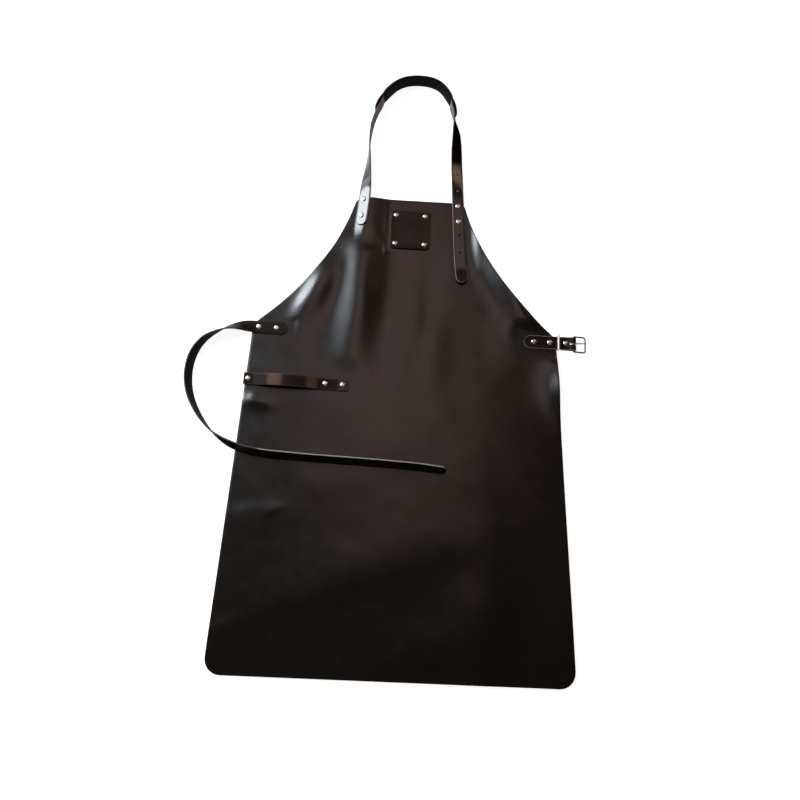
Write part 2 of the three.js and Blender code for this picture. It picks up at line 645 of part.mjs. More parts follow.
function keeperGeometry() {
  const bottom = UPPER_LAYER - STRAP_LEATHER / 2 - GAP;
  const top = UPPER_LAYER + STRAP_LEATHER / 2 + KEEPER.room;
  const [width, height] = [KEEPER.innerWidth, top - bottom];
  const outer = new THREE.BoxGeometry(KEEPER.width, width + 2 * KEEPER.wall, height + 2 * KEEPER.wall);
  const inner = new THREE.BoxGeometry(KEEPER.width * 3, width, height);
  return cut(outer, [inner]).translate(KEEPER.x, BEDS.buckle.y, (top + bottom) / 2);
}

// A wire's ring of points about a middle, square to the direction that it runs in the XY plane
function wireRing(x, y, angle, radius) {
  const outward = new THREE.Vector3(Math.cos(angle), Math.sin(angle), 0);
  const up = new THREE.Vector3(0, 0, 1);
  const outline = Array.from({ length: BUCKLE.sides }, (_, k) => {
    const turn = (2 * Math.PI * (k + 0.5)) / BUCKLE.sides;
    return [radius * Math.cos(turn), radius * Math.sin(turn)];
  });
  return ring(new THREE.Vector3(x, y, 0), outward, up, outline);
}

// The buckle's frame in its own frame: the heel bar along Y at the origin, the far bar at +X
function buckleFrameGeometry() {
  const CORNER_STEPS = 4;
  const [far, heel] = [BUCKLE.farCorner, BUCKLE.heelCorner];
  const [w, l] = [BUCKLE.width / 2, BUCKLE.length];
  const corners = [
    { x: l - far, y: w - far, radius: far, from: 0 },
    { x: heel, y: w - heel, radius: heel, from: 90 },
    { x: heel, y: heel - w, radius: heel, from: 180 },
    { x: l - far, y: far - w, radius: far, from: 270 },
  ];
  const rings = corners.flatMap(({ x, y, radius, from }) =>
    Array.from({ length: CORNER_STEPS + 1 }, (_, i) => {
      const angle = degToRad(from + (90 * i) / CORNER_STEPS);
      return wireRing(x + radius * Math.cos(angle), y + radius * Math.sin(angle), angle, BUCKLE.wire);
    }),
  );
  return skin(rings, true);
}

// The tongue in the frame's own frame: a ring round the heel bar and a tapered, slightly bowed finger
function prongGeometry() {
  const eye = new THREE.Shape().absarc(0, 0, PRONG.ring, 0, 2 * Math.PI);
  eye.holes.push(new THREE.Path().absarc(0, 0, PRONG.bore, 0, 2 * Math.PI, true));
  const eyeShape = { depth: PRONG.width, bevelEnabled: false, curveSegments: 7 };
  const round = new THREE.ExtrudeGeometry(eye, eyeShape);
  round.translate(0, 0, -PRONG.width / 2).rotateX(Math.PI / 2);
  const root = (PRONG.ring + PRONG.bore) / 2;
  const FINGER = [
    { x: -0.4, z: root, size: 1 },
    { x: 5, z: root + 0.7, size: 1 },
    { x: 11, z: root + 0.8, size: 0.95 },
    { x: 17, z: root + 0.55, size: 0.85 },
    { x: PRONG.reach, z: root + 0.2, size: 0.6 },
  ];
  const across = new THREE.Vector3(0, 1, 0);
  const up = new THREE.Vector3(0, 0, 1);
  const rings = FINGER.map(({ x, z, size }) => {
    const outline = bevelled(2.5 * size, 2 * PRONG.tip, 0.4);
    return ring(new THREE.Vector3(x, 0, z), across, up, outline);
  });
  return join(round, skin(rings));
}

function piece(name, geometry, finish) {
  const mesh = new THREE.Mesh(geometry, finish);
  mesh.name = name;
  return mesh;
}

function onBed(...names) {
  return RIVET_ROWS.filter((row) => names.includes(row.bed));
}

const apron = new THREE.Group();

const onBody = RIVET_ROWS.filter((row) => row.low === 0);
apron.add(piece("apron_body", cut(bodyGeometry(), rivetHoles(onBody)), BODY_FINISH));

const neckLine = neckStrapLine();
const neckTips = { start: STRAP_WIDTH / 2, end: STRAP_WIDTH / 2 };
const neckPunches = [...rivetHoles(onBed("neckLeft", "neckRight")), ...neckHoles(neckLine)];
apron.add(piece("neck_strap", cut(strapGeometry(neckLine, 1, neckTips), neckPunches), STRAP_FINISH));
const slotCutter = strapGeometry(neckLine, 1, neckTips, SLOT_ROOM);
apron.add(piece("neck_pad", cut(padGeometry(), [slotCutter]), PAD_FINISH));

apron.add(piece("patch", cut(patchGeometry(), rivetHoles(onBed("patch"))), PATCH_FINISH));

const waistTips = { start: STRAP_WIDTH / 2, end: STRAP_WIDTH / 2 };
const waistStrap = strapGeometry(strapLine(WAIST_ROWS), -1, waistTips);
apron.add(piece("waist_strap", cut(waistStrap, rivetHoles(onBed("waist"))), STRAP_FINISH));

apron.add(piece("towel_loop", cut(towelGeometry(), rivetHoles(onBed("towel"))), STRAP_FINISH));

apron.add(piece("buckle_strap", buckleStrapGeometry(), STRAP_FINISH));
apron.add(piece("keeper", keeperGeometry(), METAL_FINISH));

// The frame hangs from the strap's fold, its far bar on the floor; the tongue is lifted off the far bar
const buckle = new THREE.Group();
buckle.position.set(BUCKLE.x, BEDS.buckle.y, BAR_HEIGHT);
buckle.rotation.y = Math.asin((BAR_HEIGHT - BUCKLE.wire) / BUCKLE.length);
const prong = piece("buckle_prong", prongGeometry(), METAL_FINISH);
prong.rotation.y = -degToRad(PRONG.lift);
buckle.add(piece("buckle_frame", buckleFrameGeometry(), METAL_FINISH), prong);
apron.add(buckle);

for (const row of RIVET_ROWS) {
  const rivet = piece(row.name, rivetGeometry(row), METAL_FINISH);
  rivet.applyMatrix4(rivetMatrix(row));
  apron.add(rivet);
}

// The origin is on the floor under the middle of the whole object
const box = new THREE.Box3().setFromObject(apron, true);
const middle = box.getCenter(new THREE.Vector3());
apron.position.set(-middle.x, -middle.y, -box.min.z);

export default apron;
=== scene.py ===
"""Looks of a leather work apron that lies front side up on a pale floor.

Lengths in the tables are millimetres in the apron's own frame: X across the apron from its middle, Y from
the hem towards the neck and Z up from the floor. What is built is in metres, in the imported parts' frame.
"""
import math
from contextlib import contextmanager
from typing import NamedTuple

import bmesh
import bpy
import numpy as np
from bpy.props import FloatProperty, FloatVectorProperty, IntProperty, PointerProperty
from mathutils import Matrix, Vector, noise


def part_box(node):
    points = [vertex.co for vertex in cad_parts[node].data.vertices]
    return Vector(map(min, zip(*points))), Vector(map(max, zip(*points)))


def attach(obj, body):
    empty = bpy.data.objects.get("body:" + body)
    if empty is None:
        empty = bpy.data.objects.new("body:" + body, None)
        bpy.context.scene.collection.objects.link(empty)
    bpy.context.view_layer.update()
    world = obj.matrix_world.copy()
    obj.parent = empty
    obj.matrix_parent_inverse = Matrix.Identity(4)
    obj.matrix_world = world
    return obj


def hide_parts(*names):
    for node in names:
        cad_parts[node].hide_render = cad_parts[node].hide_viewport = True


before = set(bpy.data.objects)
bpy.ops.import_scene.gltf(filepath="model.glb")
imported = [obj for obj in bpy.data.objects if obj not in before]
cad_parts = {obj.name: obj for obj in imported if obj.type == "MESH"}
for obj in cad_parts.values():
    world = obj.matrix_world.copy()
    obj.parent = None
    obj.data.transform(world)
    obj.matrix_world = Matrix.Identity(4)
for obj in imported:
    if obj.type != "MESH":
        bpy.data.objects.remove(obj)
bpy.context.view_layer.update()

bl_info = {
    "name": "Leather Work Apron",
    "version": (1, 0, 0),
    "blender": (4, 5, 0),
    "location": "View3D > Sidebar > Apron",
    "description": "Builds the looks of a leather work apron around its packed parts",
    "category": "Add Mesh",
}

MM = 0.001

# The apron's own origin: the middle of the hem, on the floor
BODY_LOW, BODY_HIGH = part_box("apron_body")
HEM_MIDDLE = Vector(((BODY_LOW.x + BODY_HIGH.x) / 2, BODY_LOW.y, 0))

# Clearance between pieces that touch, and the height of a level seat on its rivets' back caps
GAP = 0.3
RIVET_BACK = 1.2
RIVET_BED = RIVET_BACK + GAP


# Tables


class Bed(NamedTuple):
    """A flat seat in the body: its middle, direction, half sizes and height, how far it runs out at its ends
    and fades at its sides, its tilt, and the share of its fade within which it presses the folds flat."""

    x: float
    y: float
    turn: float
    along: float
    across: float
    rise: float
    run_out: float
    fade: float
    tilt: float = 0
    press: float = 0.36


class Fold(NamedTuple):
    """A ridge in the leather: its middle and direction, how far it runs and spreads to both sides, and its
    height."""

    x: float
    y: float
    turn: float
    length: float
    left: float
    right: float
    height: float


class StrapRow(NamedTuple):
    """A place on a strap's middle line, its twist from lying flat and the height of its lower edge."""

    x: float
    y: float
    twist: float
    rise: float


class ArchRow(NamedTuple):
    """A place on the neck arch by its angle, the strap's twist and the height of its lower edge there, and
    how far the strap and the pad are outside the arch."""

    angle: float
    twist: float
    rise: float
    shift: float
    pad_shift: float


# Thicknesses and widths of the leather
BODY_LEATHER = 2.0
STRAP_LEATHER = 2.6
PATCH_LEATHER = 2.2
STRAP_WIDTH = 21.5
BUCKLE_STRAP_WIDTH = 24.0
BUCKLE_BED = RIVET_BED + STRAP_LEATHER + GAP - BODY_LEATHER

BEDS = {
    "neck_left": Bed(-87.2, 828, 85.3, 37, 10, 5, 48, 56, 17, 1),
    "neck_right": Bed(91.8, 775, -86.6, 109, 14, RIVET_BED, 60, 60),
    "patch": Bed(1.3, 790, 0, 40, 41, RIVET_BED, 60, 70, 0, 0.2),
    "waist": Bed(-240, 587, 178.9, 42, 13, RIVET_BED, 50, 60, 0, 0.22),
    "towel": Bed(-186.2, 490.3, -1.2, 93, 13, RIVET_BED, 60, 70, 0, 0.6),
    "buckle": Bed(243, 586, 0, 42, 15, BUCKLE_BED, 70, 75),
}

FOLDS = {
    "bib ridge": Fold(-85.2, 672, 87.3, 132, 32, 34, 9.3),
    "left armhole curl": Fold(-171, 650, 62, 45, 17, 30, 6.2),
    "left armhole roll": Fold(-151, 692, 72, 42, 60, 26, 5),
    "right armhole curl": Fold(178, 704, 118, 110, 30, 16, 13),
    "left bib crease": Fold(-12, 560, 88, 110, 16, 42, 1.3),
    "middle bib crease": Fold(16, 632, 89, 50, 18, 15, 0.9),
    "right bib crease": Fold(52, 552, 86, 60, 18, 28, 1.1),
    "right waist lift": Fold(306, 508, 88, 48, 40, 24, 22),
    "left side droop": Fold(-258, 460, 80, 15, 13, 28, 6.6),
    "left skirt crease": Fold(-245, 262, 14, 50, 14, 30, 1.2),
    "left skirt dent": Fold(-208, 268, 35, 16, 7, 8, 1),
    "left hem curl": Fold(-280, 72, 25, 36, 14, 40, 1.6),
    "skirt swell": Fold(-70, 160, 19, 180, 60, 30, 3),
    "skirt diagonal": Fold(60, 60, 21, 120, 45, 40, 2.2),
    "right skirt roll": Fold(146, 90, 88, 140, 55, 42, 4.8),
    "right side roll": Fold(300, 110, 88, 140, 45, 30, 3),
}
# Slow and quick unevenness of a hide: lengths and heights
UNEVEN = [(70, 1.1), (30, 0.24)]
# Leaning beds: the share of the width that leans on the high side, the share of the lean that goes on past
# the low side, the share of the fade within which the lean ends, and how sharply raised places meet
HIGH_SIDE, LOW_SIDE, LEVELLED, MELTED = 0.6, 0.35, 0.85, 4

# Cut of the body
HEM_WIDTH = 600
WAIST_WIDTH = 538
BIB_WIDTH = 198
WAIST_HEIGHT = 595
BODY_LENGTH = 850
ARMHOLE_PULL = (136, 705)
HEM_RADIUS = 28
BIB_RADIUS = 12
WAIST_SOFTENING = 12


def standing(twist, width, thickness):
    """Height of a strap's middle line over its lower edge, for its twist from lying flat."""
    angle = np.radians(twist)
    return (np.abs(np.sin(angle)) * width + np.abs(np.cos(angle)) * thickness) / 2


def seat_rise(bed):
    """Height of the lower edge of a strap that lies on a bed."""
    layers = BODY_LEATHER + GAP + STRAP_LEATHER / 2
    middle = bed.rise + layers / math.cos(math.radians(bed.tilt))
    return middle - float(standing(bed.tilt, STRAP_WIDTH, STRAP_LEATHER))


# Seats of the straps: heights of their lower edges
ON_LEFT = seat_rise(BEDS["neck_left"])
ON_RIGHT = seat_rise(BEDS["neck_right"])
ON_WAIST = seat_rise(BEDS["waist"])
ON_SKIRT = BODY_LEATHER + UNEVEN[0][1] + GAP

# Neck pad: its section, the arch's angles at its ends, the radius of its tips, its clearance and distance
# beside the strap, and how far the strap's lower edge is over its own
PAD_WIDTH = 29.0
PAD_THICKNESS = 4.0
PAD_START, PAD_END = 149, 31
PAD_TIP = 12
PAD_CLEARANCE = 0.5
PAD_SIDE = (PAD_THICKNESS + STRAP_LEATHER) / 2 + PAD_CLEARANCE
PAD_RISE = (PAD_WIDTH - STRAP_WIDTH) / 2

# Neck arch: a flattened half ellipse over the strap's legs, drawn to the right at its top
ARCH_BASE, ARCH_HALF_WIDTH, ARCH_HEIGHT = 955, 82, 142
ARCH_FLATNESS, ARCH_SKEW = 0.75, 8.5

# Lines of the straps, from end to end
NECK_LEFT_LEG = [
    StrapRow(-90, 794, BEDS["neck_left"].tilt, ON_LEFT),
    StrapRow(-85.3, 851, BEDS["neck_left"].tilt, ON_LEFT),
    StrapRow(-84.5, 866, 25, ON_LEFT - 0.5),
    StrapRow(-83.6, 885, 44, 4.8),
    StrapRow(-82.6, 907, 62, 2.8),
    StrapRow(-82, 930, 76, 1.2),
]
NECK_ARCH_ROWS = [
    ArchRow(180, 89, 1.5, 0, 0),
    ArchRow(164, 97, 3, 0, 0),
    ArchRow(149, 98, PAD_RISE, -1, PAD_SIDE - 1),
    ArchRow(140, 97, PAD_RISE, -1.5, PAD_SIDE - 1.5),
    ArchRow(131, 96, PAD_RISE, PAD_SIDE, 0),
    ArchRow(112, 94, PAD_RISE, PAD_SIDE, 0),
    ArchRow(97, 92, PAD_RISE, PAD_SIDE, 0),
    ArchRow(83, 92, PAD_RISE, PAD_SIDE, 0),
    ArchRow(68, 92, PAD_RISE, PAD_SIDE, 0),
    ArchRow(49, 93, PAD_RISE, PAD_SIDE, 0),
    ArchRow(40, 93, PAD_RISE, -1.5, PAD_SIDE - 1.5),
    ArchRow(31, 92, PAD_RISE, -1, PAD_SIDE - 1),
    ArchRow(15, 46, 3, 0, 0),
    ArchRow(0, 20, 2.5, 0, 0),
]
NECK_RIGHT_LEG = [
    StrapRow(83.2, 925, 15, 2),
    StrapRow(85, 894, 11, 3),
    StrapRow(86.8, 862, 2, ON_RIGHT),
    StrapRow(87.9, 843, -1, ON_RIGHT),
    StrapRow(93.3, 750, -2.5, ON_RIGHT),
    StrapRow(95.8, 718, -2, ON_RIGHT + 1),
    StrapRow(99, 690, -1, ON_RIGHT + 5),
]
# Heights of the spare holes over the hem
NECK_HOLES = [905, 874, 781, 750]
WAIST_ROWS = [
    StrapRow(-208.5, 586.4, 0, ON_WAIST),
    StrapRow(-264, 587.4, 0, ON_WAIST),
    StrapRow(-278, 587.2, 14, ON_WAIST - 0.4),
    StrapRow(-292, 586, 36, 3),
    StrapRow(-306, 583.2, 55, 2),
    StrapRow(-322, 577, 72, 1.2),
    StrapRow(-350, 558.5, 98, 0.5),
    StrapRow(-367, 530, 112, 0),
    StrapRow(-372, 495, 115, 0),
    StrapRow(-366, 460, 113, 0),
    StrapRow(-349, 426, 106, 0.8),
    StrapRow(-322, 394, 93, 1.6),
    StrapRow(-288, 373, 70, ON_SKIRT),
    StrapRow(-245, 362, 66, ON_SKIRT),
    StrapRow(-170, 357, 67, ON_SKIRT),
    StrapRow(-60, 353.5, 67, ON_SKIRT),
    StrapRow(30, 349.5, 67, ON_SKIRT),
    StrapRow(79, 345, 68, ON_SKIRT),
]

# Rivets and screws by the start of their nodes' names: their bed, the leather over the body, and each one's
# place along and across the bed and the height where its pile of leather starts
UNDER_LAYER = BODY_LEATHER - GAP - STRAP_LEATHER
RIVETS = {
    "neck_rivet": ("neck_left", STRAP_LEATHER, [(-16, 0, 0), (17, 0, 0)]),
    "neck_screw": ("neck_right", STRAP_LEATHER, [(-68, 0, 0), (-37, 0, 0)]),
    "patch_rivet": (
        "patch",
        PATCH_LEATHER,
        [(-26.7, 28.2, 0), (26.7, 28.2, 0), (-26.7, -28.2, 0), (26.7, -28.2, 0)],
    ),
    "waist_rivet": ("waist", STRAP_LEATHER, [(-13, 0, 0), (18, 0, 0)]),
    "towel_rivet": ("towel", STRAP_LEATHER, [(-82.8, 0, 0), (51.2, 0, 0), (81.2, 0, 0)]),
    "buckle_rivet": ("buckle", STRAP_LEATHER, [(-14, 0, 0), (14.4, 0, 0), (43.4, 0, UNDER_LAYER)]),
}

# Buckle strap, its fold round the heel bar and its slot, the buckle on that bar, and the keeper
BUCKLE_TIP = 211.5
BAR_X = 301
BAR_WIRE = 1.4
FOLD_INNER = BAR_WIRE + GAP
FOLD_START, FOLD_END = 291, 278
SLOT_START, SLOT_WIDTH = 292.4, 4.4
UPPER_LAYER = BUCKLE_BED + BODY_LEATHER + GAP + STRAP_LEATHER / 2
LOWER_LAYER = UPPER_LAYER - STRAP_LEATHER - GAP
BAR_HEIGHT = (UPPER_LAYER + LOWER_LAYER) / 2
FRAME_LENGTH, FRAME_WIDTH = 21.2, 28.4
PRONG_LIFT = 18
KEEPER_X = 272.4


# Settings

COLOUR = {"subtype": "COLOR", "size": 3}
PLACE = {"subtype": "XYZ", "size": 3}
LENGTH = {"subtype": "DISTANCE", "unit": "LENGTH"}


class ApronLeather(bpy.types.PropertyGroup):
    """Colours and grain of the leather."""

    body: FloatVectorProperty(
        name="Body", description="Dyed leather of the body", default=(0.0034, 0.002, 0.0011), **COLOUR
    )
    strap: FloatVectorProperty(
        name="Straps", description="Grain side of the straps", default=(0.0036, 0.0022, 0.0014), **COLOUR
    )
    pad: FloatVectorProperty(name="Pad", description="Neck pad", default=(0.0025, 0.002, 0.0012), **COLOUR)
    patch: FloatVectorProperty(
        name="Patch", description="Patch on the bib", default=(0.005, 0.003, 0.002), **COLOUR
    )
    # Towel loop colour for its worn rims and its painted warm glare bands, which stand in for reflections
    towel_glare_and_wear: FloatVectorProperty(
        name="Worn", description="Worn places of the towel loop", default=(0.1, 0.056, 0.034), **COLOUR
    )
    # Pale cut edges, partly their own colour and partly a painted highlight of the window
    edge: FloatVectorProperty(
        name="Cut edges", description="Waxed cut edges of the straps", default=(0.28, 0.265, 0.25), **COLOUR
    )
    flesh: FloatVectorProperty(
        name="Flesh side", description="Suede back of the neck strap", default=(0.17, 0.14, 0.12), **COLOUR
    )
    grain: FloatProperty(name="Grain", description="Width of a grain cell", default=0.0011, **LENGTH)
    step: FloatProperty(name="Mesh step", description="Spacing of the body's mesh", default=0.005, **LENGTH)


class ApronMetal(bpy.types.PropertyGroup):
    """Colours and sizes of the rivets, keeper and buckle."""

    rivet: FloatVectorProperty(
        name="Rivets", description="Warm nickel of the rivets", default=(0.78, 0.69, 0.57), **COLOUR
    )
    keeper: FloatVectorProperty(
        name="Keeper", description="Bright nickel of the keeper", default=(0.92, 0.87, 0.84), **COLOUR
    )
    buckle: FloatVectorProperty(
        name="Buckle", description="Dull nickel of the buckle", default=(0.12, 0.092, 0.086), **COLOUR
    )
    cap: FloatProperty(name="Rivet cap", description="Radius of a rivet's cap", default=0.0046, **LENGTH)
    dome: FloatProperty(name="Rivet dome", description="Height of a rivet's cap", default=0.0018, **LENGTH)
    sides: IntProperty(name="Sides", description="Sides of a rivet", default=32, min=8)


class ApronStage(bpy.types.PropertyGroup):
    """Camera and floor."""

    camera: FloatVectorProperty(
        name="Camera", description="Place over the hem's middle", default=(-0.0469, 0.0825, 1.4489), **PLACE
    )
    target: FloatVectorProperty(
        name="Target", description="What the camera looks at", default=(-0.0041, 0.4684, 0), **PLACE
    )
    roll: FloatProperty(
        name="Roll", description="Turn of the picture", subtype="ANGLE", default=math.radians(9.02)
    )
    lens: FloatProperty(name="Lens", description="Focal length in millimetres on 36 mm", default=38.74)
    floor: FloatVectorProperty(name="Floor", description="Pale floor", default=(0.42, 0.42, 0.42), **COLOUR)


class ApronSettings(bpy.types.PropertyGroup):
    """All settings of the apron."""

    leather: PointerProperty(type=ApronLeather)
    metal: PointerProperty(type=ApronMetal)
    stage: PointerProperty(type=ApronStage)


# Materials


def feed(tree, node, **inputs):
    """Sets a node's inputs by their names; an input that is a socket is linked."""
    for key, value in inputs.items():
        socket = node.inputs[key.replace("_", " ")]
        if isinstance(value, bpy.types.NodeSocket):
            tree.links.new(value, socket)
        else:
            socket.default_value = value
    return node


def add_node(tree, kind, settings=(), **inputs):
    """A shader node with its properties and inputs."""
    made = tree.nodes.new(kind)
    for key, value in dict(settings).items():
        setattr(made, key, value)
    return feed(tree, made, **inputs)


def new_material(name):
    """A material, its nodes, its Principled shader, and places in the object's frame as a socket."""
    material = bpy.data.materials.new(name)
    material.use_nodes = True
    tree = material.node_tree
    place = add_node(tree, "ShaderNodeTexCoord").outputs["Object"]
    return material, tree, tree.nodes["Principled BSDF"], place


def speckle(tree, place, scale, detail, roughness=0.5):
    """A noise over places."""
    made = add_node(
        tree, "ShaderNodeTexNoise", Vector=place, Scale=scale, Detail=detail, Roughness=roughness
    )
    return made.outputs["Fac"]


def attribute(tree, name):
    """A value that the mesh holds at its places."""
    return add_node(tree, "ShaderNodeAttribute", {"attribute_name": name}).outputs["Fac"]


def ranged(tree, value, low, high):
    """A value from 0 to 1, moved to between low and high."""
    return add_node(tree, "ShaderNodeMapRange", Value=value, To_Min=low, To_Max=high).outputs["Result"]


def bump(tree, height, strength, distance, **under):
    """The normal over a relief, on another normal where one is given."""
    made = add_node(tree, "ShaderNodeBump", Height=height, Strength=strength, Distance=distance, **under)
    return made.outputs["Normal"]


def mix_colour(tree, factor, first, second):
    """A blend of two colours."""
    made = tree.nodes.new("ShaderNodeMix")
    made.data_type = "RGBA"
    tree.links.new(factor, made.inputs[0])
    for socket, value in ((made.inputs[6], first), (made.inputs[7], second)):
        if isinstance(value, bpy.types.NodeSocket):
            tree.links.new(value, socket)
        else:
            socket.default_value = (*value, 1)
    return made.outputs[2]


def scaled(colour, factor):
    return tuple(channel * factor for channel in colour)


def leather_material(name, colour, roughness, grain, depth, lightening=0.0, shine=0.5, glare_and_wear=None):
    """Dyed leather: pebbled grain, pores, mottled dye, uneven polish, a lighter colour by its rim attribute,
    for worn rims and, on the towel loop, painted glare bands, and no shine by its dull attribute."""
    material, tree, shader, place = new_material(name)
    mottle = speckle(tree, place, scale=26, detail=4, roughness=0.6)
    dye = mix_colour(tree, mottle, scaled(colour, 0.72), scaled(colour, 1.3))
    if lightening > 0:
        amount = ranged(tree, attribute(tree, "rim"), 0, lightening)
        dye = mix_colour(tree, amount, dye, glare_and_wear or scaled(colour, 5))
    polish = speckle(tree, place, scale=45, detail=3, roughness=0.55)
    cells = add_node(
        tree, "ShaderNodeTexVoronoi", {"feature": "DISTANCE_TO_EDGE"}, Vector=place, Scale=1 / grain
    )
    pores = speckle(tree, place, scale=2.2 / grain, detail=2)
    pebbles = bump(tree, cells.outputs["Distance"], strength=0.2, distance=depth)
    feed(
        tree,
        shader,
        Base_Color=dye,
        Roughness=ranged(tree, polish, roughness - 0.05, roughness + 0.05),
        Normal=bump(tree, pores, strength=0.2, distance=depth, Normal=pebbles),
        Specular_IOR_Level=ranged(tree, attribute(tree, "dull"), shine, 0),
    )
    return material


def suede_material(name, colour, roughness):
    """Rough leather, such as a flesh side or a waxed cut edge: short fibres and uneven colour."""
    material, tree, shader, place = new_material(name)
    fibres = speckle(tree, place, scale=1400, detail=3, roughness=0.7)
    blotches = speckle(tree, place, scale=70, detail=4, roughness=0.6)
    tone = mix_colour(tree, blotches, scaled(colour, 0.65), scaled(colour, 1.35))
    feed(
        tree,
        shader,
        Base_Color=mix_colour(tree, fibres, scaled(colour, 0.5), tone),
        Normal=bump(tree, fibres, strength=0.5, distance=0.0002),
        Roughness=roughness,
        Specular_IOR_Level=0.1,
    )
    return material


def nickel_material(name, colour, roughness):
    """Polished nickel with fine scratches and a little tarnish."""
    material, tree, shader, place = new_material(name)
    tarnish = speckle(tree, place, scale=420, detail=4, roughness=0.6)
    stretch = add_node(tree, "ShaderNodeMapping", Vector=place, Scale=(300, 5200, 5200)).outputs["Vector"]
    scratches = speckle(tree, stretch, scale=1, detail=2)
    feed(
        tree,
        shader,
        Base_Color=mix_colour(tree, tarnish, scaled(colour, 0.8), colour),
        Roughness=ranged(tree, tarnish, roughness - 0.06, roughness + 0.1),
        Normal=bump(tree, scratches, strength=0.12, distance=0.0001),
        Metallic=1,
    )
    return material


def floor_material(colour):
    """A matt painted floor that glows a little, as under even light."""
    material, tree, shader, place = new_material("pale_floor")
    cloud = speckle(tree, place, scale=3, detail=2)
    feed(
        tree,
        shader,
        Base_Color=mix_colour(tree, cloud, scaled(colour, 0.985), colour),
        Roughness=0.9,
        Specular_IOR_Level=0.1,
        Emission_Color=(1, 1, 1, 1),
        Emission_Strength=0.9,
    )
    return material


# Shapes

# Steps round a cut corner, and round the tip of a strap
CORNER_ANGLES = np.radians(np.linspace(0, 90, 10))
TIP_ANGLES = np.radians(np.linspace(9, 90, 10))


def in_row_frame(row, x, y):
    """Distances of places along a row's direction, and to the left of it."""
    angle = math.radians(row.turn)
    dx, dy = x - row.x, y - row.y
    return dx * math.cos(angle) + dy * math.sin(angle), dy * math.cos(angle) - dx * math.sin(angle)


def smooth_step(value, low, high):
    """0 up to low, 1 from high on, and an even S between them."""
    share = np.clip((value - low) / (high - low), 0, 1)
    return share * share * (3 - 2 * share)


def unevenness(x, y, length, height):
    """A slow random swell over places, up from a level."""
    spots = [noise.noise((px / length, py / length, length)) for px, py in zip(x.flat, y.flat)]
    return height * (0.5 + 0.5 * np.reshape(spots, x.shape))


def within(bed, along, left, reach=1.0):
    """Share of a bed at places: 1 on it, fading to 0 outside its border within a share of its fade."""
    ends = 1 - smooth_step(np.abs(along), bed.along, bed.along + bed.run_out * reach)
    return ends * (1 - smooth_step(np.abs(left), bed.across, bed.across + bed.fade * reach))


def body_height(x, y):
    """Height of the body's lower face: its folds, pressed flat on the beds, with the beds' rises and the
    unevenness."""
    swell = unevenness(x, y, *UNEVEN[0])
    height = np.zeros_like(x)
    for fold in FOLDS.values():
        along, left = in_row_frame(fold, x, y)
        spread = np.where(left > 0, fold.left, fold.right)
        height += fold.height * np.exp(-((along / fold.length) ** 2) - (left / spread) ** 2)
    rise = np.zeros_like(x)
    for bed in BEDS.values():
        along, left = in_row_frame(bed, x, y)
        height *= 1 - within(bed, along, left, bed.press)
        lean = np.clip(left, -HIGH_SIDE * bed.across, bed.across)
        lean += LOW_SIDE * np.maximum(left - bed.across, 0)
        lean *= within(bed, along, left, LEVELLED)
        level = np.maximum(0, bed.rise - math.tan(math.radians(bed.tilt)) * lean)
        share = within(bed, along, left)
        rise = (rise**MELTED + (level * share) ** MELTED) ** (1 / MELTED)
        swell *= 1 - share
    return height + swell + rise + unevenness(x, y, *UNEVEN[1])


def round_off(distance, radius):
    """How far a corner draws an edge in, at a distance from the end."""
    rest = max(radius - distance, 0)
    return radius - math.sqrt(radius * radius - rest * rest)


def body_half_width(y):
    """Half the body's width: the side and the armhole, softly joined, with round corners."""
    side = (HEM_WIDTH + (WAIST_WIDTH - HEM_WIDTH) * y / WAIST_HEIGHT) / 2
    pull_x, pull_y = ARMHOLE_PULL
    bend = BODY_LENGTH - 2 * pull_y + WAIST_HEIGHT
    fall = 2 * (BODY_LENGTH - pull_y)
    t = (fall - math.sqrt(max(0, fall * fall - 4 * bend * (BODY_LENGTH - y)))) / (2 * bend)
    armhole = (1 - t) ** 2 * BIB_WIDTH / 2 + 2 * t * (1 - t) * pull_x + t * t * WAIST_WIDTH / 2
    near = max(WAIST_SOFTENING - abs(side - armhole), 0) / WAIST_SOFTENING
    width = min(side, armhole) - near * near * WAIST_SOFTENING / 4
    return width - round_off(y, HEM_RADIUS) - round_off(BODY_LENGTH - y, BIB_RADIUS)


def rounded_rows(length, low_radius, high_radius, step):
    """Heights of rows that follow the round corners at both ends of a cut."""
    low = low_radius * (1 - np.cos(CORNER_ANGLES))
    high = length - high_radius * (1 - np.cos(CORNER_ANGLES[::-1]))
    count = round((high[0] - low[-1]) / step)
    return np.concatenate([low, np.linspace(low[-1], high[0], count + 1)[1:-1], high])


def cut_grid(rows, half, columns):
    """Places of a grid over a cut, from its half width at each row."""
    x = half[:, None] * np.linspace(-1, 1, columns + 1)[None, :]
    return x, np.repeat(rows[:, None], columns + 1, axis=1)


def grid_faces(rows, columns):
    """Quads of a grid of places, facing up where rows run along Y and columns along X."""
    index = np.arange(rows * columns).reshape(rows, columns)
    corners = (index[:-1, :-1], index[:-1, 1:], index[1:, 1:], index[1:, :-1])
    return np.stack([corner.ravel() for corner in corners], axis=1)


def to_frame(points):
    """Places in the apron's millimetres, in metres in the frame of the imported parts."""
    return np.asarray(points, float) * MM + np.array(HEM_MIDDLE)


def mesh_object(name, points, faces, materials, face_materials=None, **attributes):
    """An object from places in the frame's metres, with its materials and its attributes by place."""
    mesh = bpy.data.meshes.new(name)
    mesh.from_pydata(np.asarray(points).tolist(), [], [list(map(int, face)) for face in faces])
    for material in materials:
        mesh.materials.append(material)
    if face_materials is not None:
        mesh.polygons.foreach_set("material_index", np.asarray(face_materials, np.int32))
    for key, values in attributes.items():
        layer = mesh.attributes.new(key, "FLOAT", "POINT")
        layer.data.foreach_set("value", np.asarray(values, np.float32))
    mesh.update()
    made = bpy.data.objects.new(name, mesh)
    bpy.context.scene.collection.objects.link(made)
    return made


def pick_none():
    bpy.ops.object.select_all(action="DESELECT")


